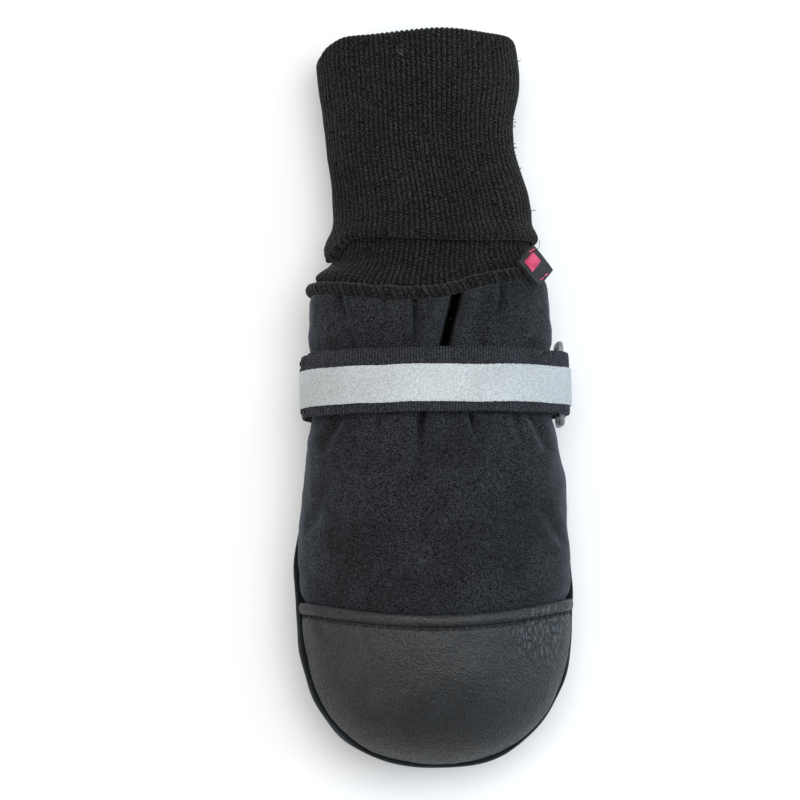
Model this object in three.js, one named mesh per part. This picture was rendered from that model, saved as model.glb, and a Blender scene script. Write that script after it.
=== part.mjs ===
// Dog shoe, millimetres, +Z up. It stands on its suede sole with the toe towards -Y,
// and its slack ribbed cuff lies out behind it, in line with the foot.
// The origin is on the underside of the sole, below the ball of the paw.
import * as THREE from "three";
import { mergeVertices } from "three/addons/utils/BufferGeometryUtils.js";

// Driving sizes of the foot
const BALL_WIDTH = 84.2;
const BALL_HEIGHT = 42;
const TOE_LENGTH = 48; // toe tip to the widest line
const FOOT_LENGTH = 143; // toe tip to the collar, down the middle of the front
const WRIST_WIDTH = 73.2;
const WRIST_HEIGHT = 34;
const TOE_OUTLINE_POWER = 2.35; // 2 is an ellipse, more is blunter
const SECTION_POWER = 2.15; // the same for the sections
const CROWN_AT = 38; // toe tip to where the top of the toe is level
const SOLE_CORNER = 15; // width of the curve from the flat sole up to the side
const CORNER_ANGLE = 45; // degrees of a rib, below its widest line, that this curve takes
const SIDE_SHARES = { toe: 0.33, ball: 0.37, wrist: 0.5 }; // height of the widest line in a rib
const WRIST_FROM = 0.6; // share of the way from the widest line to the collar

// Walls and clearances
const GAP = 0.3; // between pieces that touch
const FABRIC_WALL = 2.6;
const LEATHER_WALL = 1.3;
const SUEDE_WALL = 2;
const INSOLE_WALL = 2;
const INSOLE_INSET = 5; // from the sole's edge to the pad
const KNIT_WALL = 1.6;

// Toe cap
const CAP_LENGTH = 44.8; // toe tip to the cap's edge, down the middle
const CAP_SWEEP = 5.9; // how much further back the edge is at the sides
const BAND_WIDTH = 3.4;
const BAND_HEIGHT = 0.9;
const BAND_TOP = { front: 0.7, back: 0.25 }; // the band's level top, as shares of its width

// Sole
const SOLE_LENGTH = 105;
const SOLE_HEEL_WIDTH = 40;
const SEAM_RISE = 13; // degrees that the suede climbs above the widest line, round the toe
const SEAM_CURVE = 1.25; // power of the seam's way down to the heel: 1 is straight

// Strap, ring and tape
const WEBBING_WIDTH = 19;
const WEBBING_WALL = 1.2;
const STRAP_PLACE = 0.718; // middle of the strap, share of the way from the widest line to the collar
const STRAP_ROOM = 3.6; // space under the wrist for two layers of webbing
const RING_LENGTH = 26;
const RING_WIDTH = 12;
const RING_BAR = 1.8;
const RING_CORNER = 2.6;
const RING_HEIGHT = 19; // middle of the ring above the floor
const BEND_RADIUS = 2.1; // middle of the webbing, round the ring's bar
const KEEPER_RETURN = 9; // length of the back webbing that is folded back and sewn down
const TAPE_WIDTH = 11.4;
const TAPE_WALL = 0.35;
const TAPE_SHIFT = -1.3; // the tape sits nearer the toe edge of the webbing

// Where the webbing starts and ends, in degrees round the wrist: 0 is the right side, 90 the top,
// 180 the left side and 270 underneath
const STRAP_TURNS = { sewn: 172, toRing: 20, fromRing: 17, flat: 45, end: 248 };
const BACK_TURNS = { sewn: 187, toRing: 343, fromRing: 340, flat: 318 };
const TAPE_END = 200;
const TAPE_BEND = 335; // degrees round the ring's bar where the tape starts

// Collar and cuff
const COLLAR_WIDTH = 71.6;
const COLLAR_RISE = 4.1; // the collar seam is this much further back at the sides
const COLLAR_SLANT = 2; // and this much more on the right than on the left
const COLLAR_ROLL = 3.6; // thickness of the knit roll
const CUFF_LENGTH = 82; // collar to the fold at the cuff's mouth
const CUFF_WIDTH = 56.8; // across the turned-down layer, at its slimmest
const CUFF_HEIGHT = 28;
const RIM_AT = 18.9; // collar to the rim of the turned-down layer
const RIM_SLANT = -0.6; // how much further back it is at the right than in the middle
const RIM_ROLL = 1.7; // how far the rim stands out past the layer
const LAYER_GAP = 0.6; // between the two knit layers
const MOUTH_CORNER = 4; // how far the fold drops away at its two ends
const MOUTH_POWER = 9; // how close to its ends it drops
const FOLD_ROUND = 0.5; // how far the fold's middle stands past its two faces
const CUFF_NECK = 10; // length over which the tube takes its own form

// Tag
const TAG_LENGTH = 8.5;
const TAG_WIDTH = 10;
const TAG_LEAF = 0.6;
const TAG_OPEN = 0.5; // between its two leaves
const TAG_FOLD = { outside: 1, inside: 1.6 }; // length of the fold's slopes
const TAG_SEAT = 42; // degrees above the side of the collar
const TAG_LEAN = 50; // degrees from the cuff's direction outwards, seen from above
const TAG_START = 1; // from the collar's line to the ribbon's visible start

// How fine the meshes are
const TOE_STEPS = 9;
const BODY_STEPS = 15;
const OVER_STEPS = 11; // from the sole's edge up to the middle of the top
const UNDER_STEPS = 4; // from the middle of the underside out to the sole's edge
const RING_STEPS = 36;

// The body behind the widest line. Shares: along from the widest line to the collar, width from
// the wrist's to the ball's, height from the wrist's to the ball's, and lift of the room below.
const BODY = [
  { along: 0.0, width: 1.0, height: 1.0, lift: 0.0 },
  { along: 0.13, width: 0.99, height: 0.99, lift: 0.0 },
  { along: 0.31, width: 0.67, height: 0.84, lift: 0.0 },
  { along: 0.45, width: 0.42, height: 0.58, lift: 0.0 },
  { along: 0.53, width: 0.24, height: 0.38, lift: 0.12 },
  { along: 0.6, width: 0.0, height: 0.02, lift: 1.0 },
  { along: 0.72, width: 0.0, height: 0.0, lift: 1.0 },
  { along: 0.86, width: 0.0, height: 0.0, lift: 1.0 },
  { along: 0.93, width: 0.08, height: 0.14, lift: 0.6 },
  { along: 1.0, width: 0.05, height: 0.1, lift: 0.4 },
  { along: 1.1, width: -0.12, height: 0.05, lift: 0.4 },
];

// The inner knit layer. Shares: along from the collar to the mouth, size of the slimmest section,
// and the drift of its middle to the right, of the cuff's width.
const CUFF = [
  { along: -0.02, size: 1.17, drift: 0.0 },
  { along: 0.04, size: 1.09, drift: 0.0 },
  { along: 0.12, size: 1.04, drift: 0.01 },
  { along: 0.22, size: 1.02, drift: 0.024 },
  { along: 0.3, size: 0.965, drift: 0.02 },
  { along: 0.62, size: 0.922, drift: -0.03 },
  { along: 0.88, size: 0.99, drift: -0.034 },
  { along: 1.0, size: 0.995, drift: -0.036 },
];

// The rim of the turned-down layer, in shares of the way from the rim's line to the mouth, and of the
// roll's height.
const RIM = [
  { along: 0.055, roll: 0.6 },
  { along: 0.02, roll: 1 },
  { along: -0.015, roll: 0.8 },
  { along: -0.03, roll: 0 },
];
const RIM_UNDERSIDE = -0.02;

const RADIAN = Math.PI / 180;
const mix = (a, b, share) => a + (b - a) * share;
const clamp = (value, low, high) => Math.min(high, Math.max(low, value));

// A smooth curve through one column of a table, which never overshoots its rows.
function follow(table, column, at) {
  const last = table.length - 1;
  const slope = (i) => (table[i + 1][column] - table[i][column]) / (table[i + 1].along - table[i].along);
  const tangent = (i) => {
    if (i === 0) return slope(0);
    if (i === last) return slope(last - 1);
    const before = slope(i - 1);
    const after = slope(i);
    return before * after <= 0 ? 0 : (2 * before * after) / (before + after);
  };
  const inside = clamp(at, table[0].along, table[last].along);
  let i = 0;
  while (i < last - 1 && inside > table[i + 1].along) i += 1;
  const step = table[i + 1].along - table[i].along;
  const t = (inside - table[i].along) / step;
  const rest = 1 - t;
  return (
    table[i][column] * rest * rest * (1 + 2 * t) +
    table[i + 1][column] * t * t * (3 - 2 * t) +
    step * t * rest * (rest * tangent(i) - t * tangent(i + 1))
  );
}

// A closed geometry from loose quads: equal corners are merged and flat triangles dropped.
class Quads {
  constructor() {
    this.triangles = [];
  }

  add(a, b, c, d) {
    this.triangles.push([a, b, c], [a, c, d]);
  }

  geometry() {
    const corner = (p) => p.map((value) => Math.round(value * 1e5) / 1e5);
    const key = (p) => corner(p).join();
    const apart = (a, b, c) => key(a) !== key(b) && key(b) !== key(c) && key(c) !== key(a);
    const whole = this.triangles.filter((corners) => apart(...corners));
    const positions = new Float32Array(whole.flat().flatMap(corner));
    const loose = new THREE.BufferGeometry();
    loose.setAttribute("position", new THREE.BufferAttribute(positions, 3));
    return mergeVertices(loose, 1e-4);
  }
}

// The last: the outer surface of the foot. A station is one rib of it, given by t: 0 at the toe tip,
// 1 at the widest line and 2 at the collar. The ribs fan out from the crown round the toe.
function station(t) {
  if (t < 1) {
    const turn = (t * Math.PI) / 2;
    const power = 2 / TOE_OUTLINE_POWER;
    return {
      x: (BALL_WIDTH / 2) * Math.sin(turn) ** power,
      edge: TOE_LENGTH * (1 - Math.cos(turn) ** power),
      spine: mix(CROWN_AT, TOE_LENGTH, t ** 2),
      top: BALL_HEIGHT,
      side: mix(SIDE_SHARES.toe, SIDE_SHARES.ball, t) * BALL_HEIGHT,
      floor: 0,
    };
  }
  const along = t - 1;
  const at = mix(TOE_LENGTH, FOOT_LENGTH, along);
  const floor = STRAP_ROOM * follow(BODY, "lift", along);
  const top = mix(WRIST_HEIGHT + STRAP_ROOM, BALL_HEIGHT, follow(BODY, "height", along));
  const sideShare = mix(SIDE_SHARES.ball, SIDE_SHARES.wrist, clamp(along / WRIST_FROM, 0, 1));
  return {
    x: mix(WRIST_WIDTH, BALL_WIDTH, follow(BODY, "width", along)) / 2,
    edge: at,
    spine: at,
    top,
    side: floor + sideShare * (top - floor),
    floor,
  };
}

const stationAt = (distance) => 1 + (distance - TOE_LENGTH) / (FOOT_LENGTH - TOE_LENGTH);
const plan = (distance) => distance - TOE_LENGTH; // distance from the toe tip to Y
const MIDDLE = 89.9; // angles past this are on the middle line, above or below

// A point of the last. angle: 90 is the middle of the top, 0 the widest line, -90 the middle of the
// underside, which is flat from the corner inwards.
function onLast(t, hand, angle) {
  const rib = station(t);
  let reach;
  let z;
  if (angle >= 0) {
    const power = 2 / SECTION_POWER;
    reach = Math.max(0, Math.cos(angle * RADIAN)) ** power;
    z = rib.side + (rib.top - rib.side) * Math.sin(angle * RADIAN) ** power;
  } else {
    const corner = SOLE_CORNER / Math.max(rib.x, TOE_LENGTH * (1 - t));
    const turn = Math.min(-angle / CORNER_ANGLE, 1) * (Math.PI / 2);
    const inwards = Math.max(-angle / CORNER_ANGLE - 1, 0);
    reach = (1 - corner * (1 - Math.cos(turn))) - (1 - corner) * inwards;
    z = rib.side - (rib.side - rib.floor) * Math.sin(turn);
  }
  return new THREE.Vector3(hand * rib.x * reach, plan(mix(rib.spine, rib.edge, reach)), z);
}

// The outward direction there.
function outward(t, hand, angle) {
  const small = 0.01;
  const rib = station(t);
  if (Math.abs(angle) > MIDDLE) {
    const ahead = station(t + small);
    const run = ahead.spine - rib.spine;
    const climb = angle > 0 ? ahead.top - rib.top : ahead.floor - rib.floor;
    const up = Math.sign(angle);
    return new THREE.Vector3(0, (-up * climb) / Math.max(run, 1e-6), up).normalize();
  }
  const here = Math.max(t, small);
  const alongBody = onLast(here + small, hand, angle).sub(onLast(here - small, hand, angle));
  const around = onLast(here, hand, angle + small * 9).sub(onLast(here, hand, angle - small * 9));
  const normal = alongBody.cross(around).normalize();
  const fromMiddle = onLast(here, hand, angle).sub(new THREE.Vector3(0, plan(rib.spine), rib.side));
  if (normal.dot(fromMiddle) < 0) normal.negate();
  if (t === 0) normal.setX(0).normalize();
  return normal;
}

function lastPoint(t, hand, angle, depth) {
  return onLast(t, hand, angle).addScaledVector(outward(t, hand, angle), -depth);
}

// A wall that follows the last. grid(row, column, hand) gives t, angle, outer and inner depths;
// keep(row, column) says which cells the wall has. Both halves are zipped together at the middle.
function lastWall(rows, columns, grid, keep, lift) {
  const quads = new Quads();
  const inGrid = (row, column) => row >= 0 && row < rows && column >= 0 && column < columns;
  const kept = (row, column) => inGrid(row, column) && keep(row, column);
  for (const hand of [-1, 1]) {
    const corners = [];
    for (let row = 0; row <= rows; row += 1) {
      corners.push([]);
      for (let column = 0; column <= columns; column += 1) {
        const { t, angle, outer, inner } = grid(row, column, hand);
        const place = (depth) => {
          const point = lastPoint(t, hand, angle, depth);
          const middle = t === 0 || Math.abs(angle) > MIDDLE;
          return [middle ? 0 : point.x, point.y, point.z + lift];
        };
        corners[row].push({ outer: place(outer), inner: place(inner) });
      }
    }
    const turned = (a, b, c, d) => (hand > 0 ? quads.add(a, b, c, d) : quads.add(d, c, b, a));
    for (let row = 0; row < rows; row += 1) {
      for (let column = 0; column < columns; column += 1) {
        if (!kept(row, column)) continue;
        const [a, b] = [corners[row][column], corners[row + 1][column]];
        const [c, d] = [corners[row + 1][column + 1], corners[row][column + 1]];
        turned(a.outer, b.outer, c.outer, d.outer);
        turned(a.inner, d.inner, c.inner, b.inner);
        if (!kept(row + 1, column)) turned(b.outer, b.inner, c.inner, c.outer);
        if (row > 0 && !kept(row - 1, column)) turned(d.outer, d.inner, a.inner, a.outer);
        const lowMiddle = column === 0 && grid(row, 0, hand).angle < -MIDDLE;
        const highMiddle = column === columns - 1 && grid(row, columns, hand).angle > MIDDLE;
        if (!lowMiddle && !kept(row, column - 1)) turned(a.outer, a.inner, b.inner, b.outer);
        if (!highMiddle && !kept(row, column + 1)) turned(c.outer, c.inner, d.inner, d.outer);
      }
    }
  }
  return quads.geometry();
}

// Lines on the last: the sole's edge, the cap's edge and the collar.
function seamAngle(t) {
  const at = mix(TOE_LENGTH, FOOT_LENGTH, t - 1);
  if (at <= TOE_LENGTH) return SEAM_RISE;
  const share = clamp((at - TOE_LENGTH) / (SOLE_LENGTH - TOE_LENGTH), 0, 1);
  const heel = station(stationAt(SOLE_LENGTH)).x;
  const flat = heel - SOLE_CORNER;
  const heelAngle = -CORNER_ANGLE * (1 + clamp(1 - SOLE_HEEL_WIDTH / 2 / flat, 0, 1));
  return mix(SEAM_RISE, heelAngle, share ** SEAM_CURVE);
}

// The t at which a line on the last crosses one line of points, by halving.
function whereOnRib(hand, angle, isPast) {
  let [low, high] = [0.2, 2.2];
  for (let i = 0; i < 40; i += 1) {
    const middle = (low + high) / 2;
    if (isPast(onLast(middle, hand, angle))) high = middle;
    else low = middle;
  }
  return (low + high) / 2;
}

function capEdge(hand, angle, inset) {
  const edge = (x) => CAP_LENGTH - inset + CAP_SWEEP * (x / (BALL_WIDTH / 2)) ** 2;
  return whereOnRib(hand, Math.max(angle, SEAM_RISE), (p) => p.y > plan(edge(p.x)));
}

function collarLine(x) {
  const share = clamp(x / (COLLAR_WIDTH / 2), -1, 1);
  return FOOT_LENGTH + COLLAR_RISE * share ** 2 + COLLAR_SLANT * share;
}

function collarEdge(hand, angle, inset) {
  return whereOnRib(hand, angle, (p) => p.y > plan(collarLine(p.x) - inset));
}

// How many degrees of a rib a short length takes up.
function degreesFor(length, t, angle) {
  const step = onLast(t, 1, angle).distanceTo(onLast(t, 1, angle - 0.5));
  return (0.5 * length) / Math.max(step, 1e-6);
}

const soleEnd = stationAt(SOLE_LENGTH);
const heelSteps = 8; // rows from the cap's edge to the sole's heel end, the same on sole and upper
const soleSide = 2; // columns of the upper below its widest line, where it wraps under
const stepRun = 0.006; // the step at the cap's edge, as a share of a rib's t

// Fabric body. Under the cap it steps in by the leather's wall, and underneath it is open for the sole.
function upperGeometry() {
  const rows = TOE_STEPS + 2 + BODY_STEPS;
  const heelRow = TOE_STEPS + 1 + heelSteps;
  const columns = UNDER_STEPS + soleSide + OVER_STEPS;
  const under = LEATHER_WALL + GAP;
  const grid = (row, column, hand) => {
    const angleAt = (t) => {
      if (column <= UNDER_STEPS) return mix(-90, seamAngle(t), column / UNDER_STEPS);
      const over = column - UNDER_STEPS;
      const seam = seamAngle(t);
      const shoulder = Math.max(seam, SEAM_RISE);
      if (over <= soleSide) return mix(seam, shoulder, over / soleSide);
      return mix(shoulder, 90, (over - soleSide) / OVER_STEPS);
    };
    const guess = angleAt(1.02);
    const edge = capEdge(hand, guess, -GAP);
    const step = edge + stepRun;
    const collar = collarEdge(hand, angleAt(2), COLLAR_ROLL / 2 + GAP);
    if (row <= TOE_STEPS) {
      const t = edge * (row / TOE_STEPS);
      return { t, angle: angleAt(t), outer: under, inner: FABRIC_WALL + under / 2 };
    }
    let t;
    if (row === TOE_STEPS + 1) t = step;
    else if (row <= heelRow) t = mix(step, soleEnd, (row - TOE_STEPS - 1) / (heelRow - TOE_STEPS - 1));
    else t = mix(soleEnd, collar, (row - heelRow) / (rows - heelRow));
    const thin = row === TOE_STEPS + 1 ? under / 2 : 0;
    return { t, angle: angleAt(t), outer: 0, inner: FABRIC_WALL + thin };
  };
  const keep = (row, column) => column >= UNDER_STEPS || row >= heelRow;
  return lastWall(rows, columns, grid, keep, GAP);
}

// Suede sole, from the middle of the underside up to the seam.
function soleGeometry() {
  const rows = TOE_STEPS + heelSteps;
  const columns = 8;
  const grid = (row, column, hand) => {
    const edge = capEdge(hand, SEAM_RISE, -GAP);
    const end = stationAt(SOLE_LENGTH - GAP);
    const back = mix(edge + stepRun, end, (row - TOE_STEPS) / heelSteps);
    const t = row <= TOE_STEPS ? edge * (row / TOE_STEPS) : back;
    const inset = GAP * clamp(2 * t, 0, 1);
    const seam = seamAngle(t) - degreesFor(inset, t, seamAngle(t));
    return { t, angle: mix(-90, seam, column / columns), outer: 0, inner: SUEDE_WALL };
  };
  return lastWall(rows, columns, grid, () => true, 0);
}

// Leather cap over the toe, with a raised turned band along its edge.
function capGeometry() {
  const rows = TOE_STEPS + 3;
  const columns = OVER_STEPS;
  const grid = (row, column, hand) => {
    const angle = mix(SEAM_RISE, 90, column / columns);
    const edge = capEdge(hand, angle, 0);
    const bandFoot = capEdge(hand, angle, BAND_WIDTH);
    const bandTop = capEdge(hand, angle, BAND_WIDTH * BAND_TOP.front);
    const bandEnd = capEdge(hand, angle, BAND_WIDTH * BAND_TOP.back);
    if (row <= TOE_STEPS) return { t: bandFoot * (row / TOE_STEPS), angle, outer: 0, inner: LEATHER_WALL };
    const t = [bandTop, bandEnd, edge][row - TOE_STEPS - 1];
    const outer = row === rows ? 0 : -BAND_HEIGHT;
    return { t, angle, outer, inner: LEATHER_WALL };
  };
  return lastWall(rows, columns, grid, () => true, GAP);
}

// Fleece pad on the flat of the sole.
function insoleGeometry() {
  const rows = TOE_STEPS + 7;
  const columns = 4;
  const top = SUEDE_WALL + GAP;
  const grid = (row, column) => {
    const end = stationAt(SOLE_LENGTH - INSOLE_INSET);
    const t = row <= TOE_STEPS ? row / TOE_STEPS : mix(1, end, (row - TOE_STEPS) / (rows - TOE_STEPS));
    const flatEdge = -CORNER_ANGLE - 1;
    const seam = seamAngle(t);
    const rim = Math.min(flatEdge, seam - degreesFor(INSOLE_INSET / 2, t, seam));
    return { t, angle: mix(-90, rim, column / columns), outer: top, inner: top + INSOLE_WALL };
  };
  return lastWall(rows, columns, grid, () => true, 0);
}

// A full turn round a rib, in degrees: 0 right side, 90 top, 180 left side, 270 underneath.
function roundRib(round) {
  const turned = ((round % 360) + 360) % 360;
  const hand = turned > 90 && turned < 270 ? -1 : 1;
  const folded = turned <= 90 ? turned : turned <= 270 ? 180 - turned : turned - 360;
  return { hand, angle: folded };
}

const BEAD_INSIDE = COLLAR_ROLL * 0.8; // the roll reaches in this far from the body's outer face
const RIM_ROOM = LAYER_GAP + 0.4; // the layer's underside clears the floor by a little

// Rings behind the collar: a flattened tube, lying on the floor.
function cuffRing(along) {
  const size = follow(CUFF, "size", along);
  const halfWidth = (CUFF_WIDTH / 2) * size;
  const halfHeight = (CUFF_HEIGHT / 2) * size;
  const x = CUFF_WIDTH * follow(CUFF, "drift", along);
  return { halfWidth, halfHeight, x, z: halfHeight + KNIT_WALL + RIM_ROOM };
}

function ringPoint(ring, turn, grow, distance) {
  const power = 2 / SECTION_POWER;
  const bend = (value) => Math.sign(value) * Math.abs(value) ** power;
  const x = ring.x + (ring.halfWidth + grow) * bend(Math.cos(turn));
  const z = ring.z + (ring.halfHeight + grow) * bend(Math.sin(turn));
  return [x, plan(distance), Math.max(z, 0)];
}

// A closed profile carried round the ring.
function ringSolid(profile) {
  const quads = new Quads();
  const at = (i, j) => profile[j % profile.length](((i % RING_STEPS) / RING_STEPS) * 2 * Math.PI);
  for (let i = 0; i < RING_STEPS; i += 1) {
    for (let j = 0; j < profile.length; j += 1) {
      quads.add(at(i, j), at(i, j + 1), at(i + 1, j + 1), at(i + 1, j));
    }
  }
  return quads.geometry();
}

function cuffLines(turn) {
  const side = Math.cos(turn);
  const collar = collarLine((side * COLLAR_WIDTH) / 2) - COLLAR_ROLL / 2 + GAP;
  const mouth = FOOT_LENGTH + CUFF_LENGTH - MOUTH_CORNER * Math.abs(side) ** MOUTH_POWER;
  const rim = FOOT_LENGTH + RIM_AT + RIM_SLANT * side;
  return { collar, mouth, rim };
}

// Near the collar the tube has the form of the body's end, inside the knit roll. Behind it, the tube
// takes its own form.
function cuffPoint(turn, distance, grow) {
  const free = ringPoint(cuffRing((distance - FOOT_LENGTH) / CUFF_LENGTH), turn, grow, distance);
  const line = collarLine((Math.cos(turn) * COLLAR_WIDTH) / 2);
  const share = clamp((distance - line) / CUFF_NECK, 0, 1);
  if (share === 1) return free;
  const { hand, angle } = roundRib(turn / RADIAN);
  const held = lastPoint(collarEdge(hand, angle, line - distance), hand, angle, BEAD_INSIDE + GAP - grow);
  const eased = share * share * (3 - 2 * share);
  return [held.x, held.y, held.z + GAP].map((value, i) => mix(value, free[i], eased));
}

// Knit tube and its turned-down layer, one piece of knit folded at the mouth.
function cuffGeometry() {
  const outer = KNIT_WALL + LAYER_GAP;
  const innerRows = [0, 0.07, 0.16, 0.26, 0.42, 0.58, 0.74, 0.88, 0.965];
  const outerRows = [0.94, 0.86, 0.68, 0.48, 0.28, 0.12];
  const profile = [];
  const onInner = (share, grow) => (turn) => {
    const { collar, mouth } = cuffLines(turn);
    return cuffPoint(turn, mix(collar, mouth, share), grow);
  };
  const onOuter = (share, grow) => (turn) => {
    const { rim, mouth } = cuffLines(turn);
    return cuffPoint(turn, mix(rim, mouth, share), grow);
  };
  const top = (back, grow) => (turn) => cuffPoint(turn, cuffLines(turn).mouth - back, grow);
  for (const share of innerRows) profile.push(onInner(share, -KNIT_WALL));
  profile.push(top(FOLD_ROUND, -KNIT_WALL / 2));
  profile.push(top(0, LAYER_GAP / 2));
  profile.push(top(FOLD_ROUND, outer - KNIT_WALL / 2));
  for (const share of outerRows) profile.push(onOuter(share, outer));
  for (const { along, roll } of RIM) profile.push(onOuter(along, outer + RIM_ROLL * roll));
  profile.push(onOuter(RIM_UNDERSIDE, LAYER_GAP));
  for (const share of [0.3, 0.6, 0.9]) profile.push(onOuter(share, LAYER_GAP));
  for (const share of [0.92, 0.74, 0.58, 0.42, 0.26, 0.16, 0.07, 0]) profile.push(onInner(share, 0));
  return ringSolid(profile.reverse());
}

// Knit roll in the collar seam, a round bead between the body's end and the cuff.
function collarGeometry() {
  const corners = 8;
  const profile = [];
  for (let j = 0; j < corners; j += 1) {
    const bead = ((j + 0.5) / corners) * 2 * Math.PI;
    profile.push((turn) => {
      const { hand, angle } = roundRib(turn / RADIAN);
      const back = (COLLAR_ROLL / 2) * Math.sin(bead);
      const depth = BEAD_INSIDE - (COLLAR_ROLL / 2) * (1 + Math.cos(bead));
      const point = lastPoint(collarEdge(hand, angle, -back), hand, angle, depth);
      return [point.x, point.y, point.z + GAP];
    });
  }
  return ringSolid(profile);
}

// Section of the wrist under the strap, as a path of flat points [x, z] from one angle to another.
const strapAt = mix(TOE_LENGTH, FOOT_LENGTH, STRAP_PLACE);
const strapStation = stationAt(strapAt);

function wristPoint(hand, angle, grow) {
  const point = lastPoint(strapStation, hand, angle, -grow);
  return new THREE.Vector2(point.x, point.z + GAP);
}

function wristPath(from, to, steps, grow) {
  const points = [];
  for (let i = 0; i <= steps; i += 1) {
    const round = mix(from, to, i / steps);
    const { hand, angle } = roundRib(round);
    points.push(wristPoint(hand, angle, grow(round)));
  }
  return points;
}

// A strip of webbing or tape: the path given a thickness, then a width along Y.
function stripGeometry(path, wall, width, middle) {
  const inner = [];
  const outer = [];
  path.forEach((point, i) => {
    const before = path[Math.max(i - 1, 0)];
    const after = path[Math.min(i + 1, path.length - 1)];
    const along = after.clone().sub(before).normalize();
    const across = new THREE.Vector2(-along.y, along.x).multiplyScalar(wall / 2);
    inner.push(point.clone().sub(across));
    outer.push(point.clone().add(across));
  });
  const shape = new THREE.Shape([...inner, ...outer.reverse()]);
  const strip = new THREE.ExtrudeGeometry(shape, { depth: width, bevelEnabled: false });
  return strip.rotateX(Math.PI / 2).translate(0, plan(middle) + width / 2, 0);
}

// How far the webbing's two layers stand out from the wrist, at the middle of their walls. The outer
// layer stands further out where it leaves the ring's bar.
const underGrow = GAP + WEBBING_WALL / 2;
const overGrow = underGrow + WEBBING_WALL + GAP;
const bendGrow = underGrow + 2 * BEND_RADIUS;
const growFromRing = (turns) => (round) =>
  mix(bendGrow, overGrow, clamp((round - turns.fromRing) / (turns.flat - turns.fromRing), 0, 1));
const barX = WRIST_WIDTH / 2 + underGrow + BEND_RADIUS;
const barReach = RING_WIDTH / 2 - RING_BAR / 2;

function bend(height, from, to, grow = 0) {
  const points = [];
  for (let i = 0; i <= 6; i += 1) {
    const angle = mix(from, to, i / 6) * RADIAN;
    const round = new THREE.Vector2(Math.cos(angle), Math.sin(angle)).multiplyScalar(BEND_RADIUS + grow);
    points.push(round.add(new THREE.Vector2(barX, height)));
  }
  return points;
}

// Front strap: sewn at the left side, over the front, round the ring's upper bar and back over itself.
function strapGeometry() {
  const under = wristPath(STRAP_TURNS.sewn, STRAP_TURNS.toRing, 18, () => underGrow);
  const round = bend(RING_HEIGHT + barReach, 180, 360);
  const over = wristPath(STRAP_TURNS.fromRing, STRAP_TURNS.end, 28, growFromRing(STRAP_TURNS));
  return stripGeometry([...under, ...round, ...over], WEBBING_WALL, WEBBING_WIDTH, strapAt);
}

function tapeGeometry() {
  const proud = WEBBING_WALL / 2 + GAP + TAPE_WALL / 2;
  const grow = growFromRing(STRAP_TURNS);
  const start = bend(RING_HEIGHT + barReach, TAPE_BEND, 360, proud);
  const over = wristPath(STRAP_TURNS.fromRing, TAPE_END, 24, (round) => grow(round) + proud);
  return stripGeometry([...start, ...over], TAPE_WALL, TAPE_WIDTH, strapAt + TAPE_SHIFT);
}

// Back webbing: sewn at the left side, under the wrist and round the ring's lower bar.
function backGeometry() {
  const under = wristPath(BACK_TURNS.sewn, BACK_TURNS.toRing, 18, () => underGrow);
  const round = bend(RING_HEIGHT - barReach, 180, 0);
  const below = new THREE.Vector2(barX + BEND_RADIUS, RING_HEIGHT - barReach - RING_BAR);
  const end = BACK_TURNS.fromRing - degreesFor(KEEPER_RETURN, strapStation, -CORNER_ANGLE / 2);
  const back = wristPath(BACK_TURNS.fromRing, end, 6, growFromRing(BACK_TURNS));
  return stripGeometry([...under, ...round, below, ...back], WEBBING_WALL, WEBBING_WIDTH, strapAt);
}

// Oblong ring with rounded corners, standing beside the wrist.
function ringGeometry() {
  const rounded = (length, width, radius) => {
    const [x, y] = [width / 2, length / 2];
    const path = new THREE.Shape();
    path.moveTo(x - radius, -y);
    path.absarc(x - radius, -y + radius, radius, -Math.PI / 2, 0);
    path.absarc(x - radius, y - radius, radius, 0, Math.PI / 2);
    path.absarc(-x + radius, y - radius, radius, Math.PI / 2, Math.PI);
    path.absarc(-x + radius, -y + radius, radius, Math.PI, Math.PI * 1.5);
    return path;
  };
  const shape = rounded(RING_LENGTH, RING_WIDTH, RING_CORNER);
  const inside = RING_CORNER - RING_BAR;
  shape.holes.push(rounded(RING_LENGTH - 2 * RING_BAR, RING_WIDTH - 2 * RING_BAR, inside));
  const ring = new THREE.ExtrudeGeometry(shape, { depth: RING_BAR, bevelEnabled: false, curveSegments: 4 });
  return ring.translate(0, 0, -RING_BAR / 2).rotateY(Math.PI / 2);
}

// Ribbon folded in two, its ends in the collar seam.
function tagGeometry() {
  const thickness = 2 * TAG_LEAF + TAG_OPEN;
  const outside = TAG_LENGTH - TAG_FOLD.outside;
  const inside = TAG_LENGTH - TAG_FOLD.inside;
  const shape = new THREE.Shape();
  shape.moveTo(0, 0);
  shape.lineTo(outside, 0);
  shape.lineTo(TAG_LENGTH, thickness / 2);
  shape.lineTo(outside, thickness);
  shape.lineTo(0, thickness);
  shape.lineTo(0, thickness - TAG_LEAF);
  shape.lineTo(inside, thickness - TAG_LEAF);
  shape.lineTo(inside, TAG_LEAF);
  shape.lineTo(0, TAG_LEAF);
  const tag = new THREE.ExtrudeGeometry(shape, { depth: TAG_WIDTH, bevelEnabled: false });
  return tag.translate(0, -thickness / 2, -TAG_WIDTH / 2);
}

function part(name, geometry, color, roughness, metalness = 0) {
  const mesh = new THREE.Mesh(geometry, new THREE.MeshStandardMaterial({ color, roughness, metalness }));
  mesh.name = name;
  return mesh;
}

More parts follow.
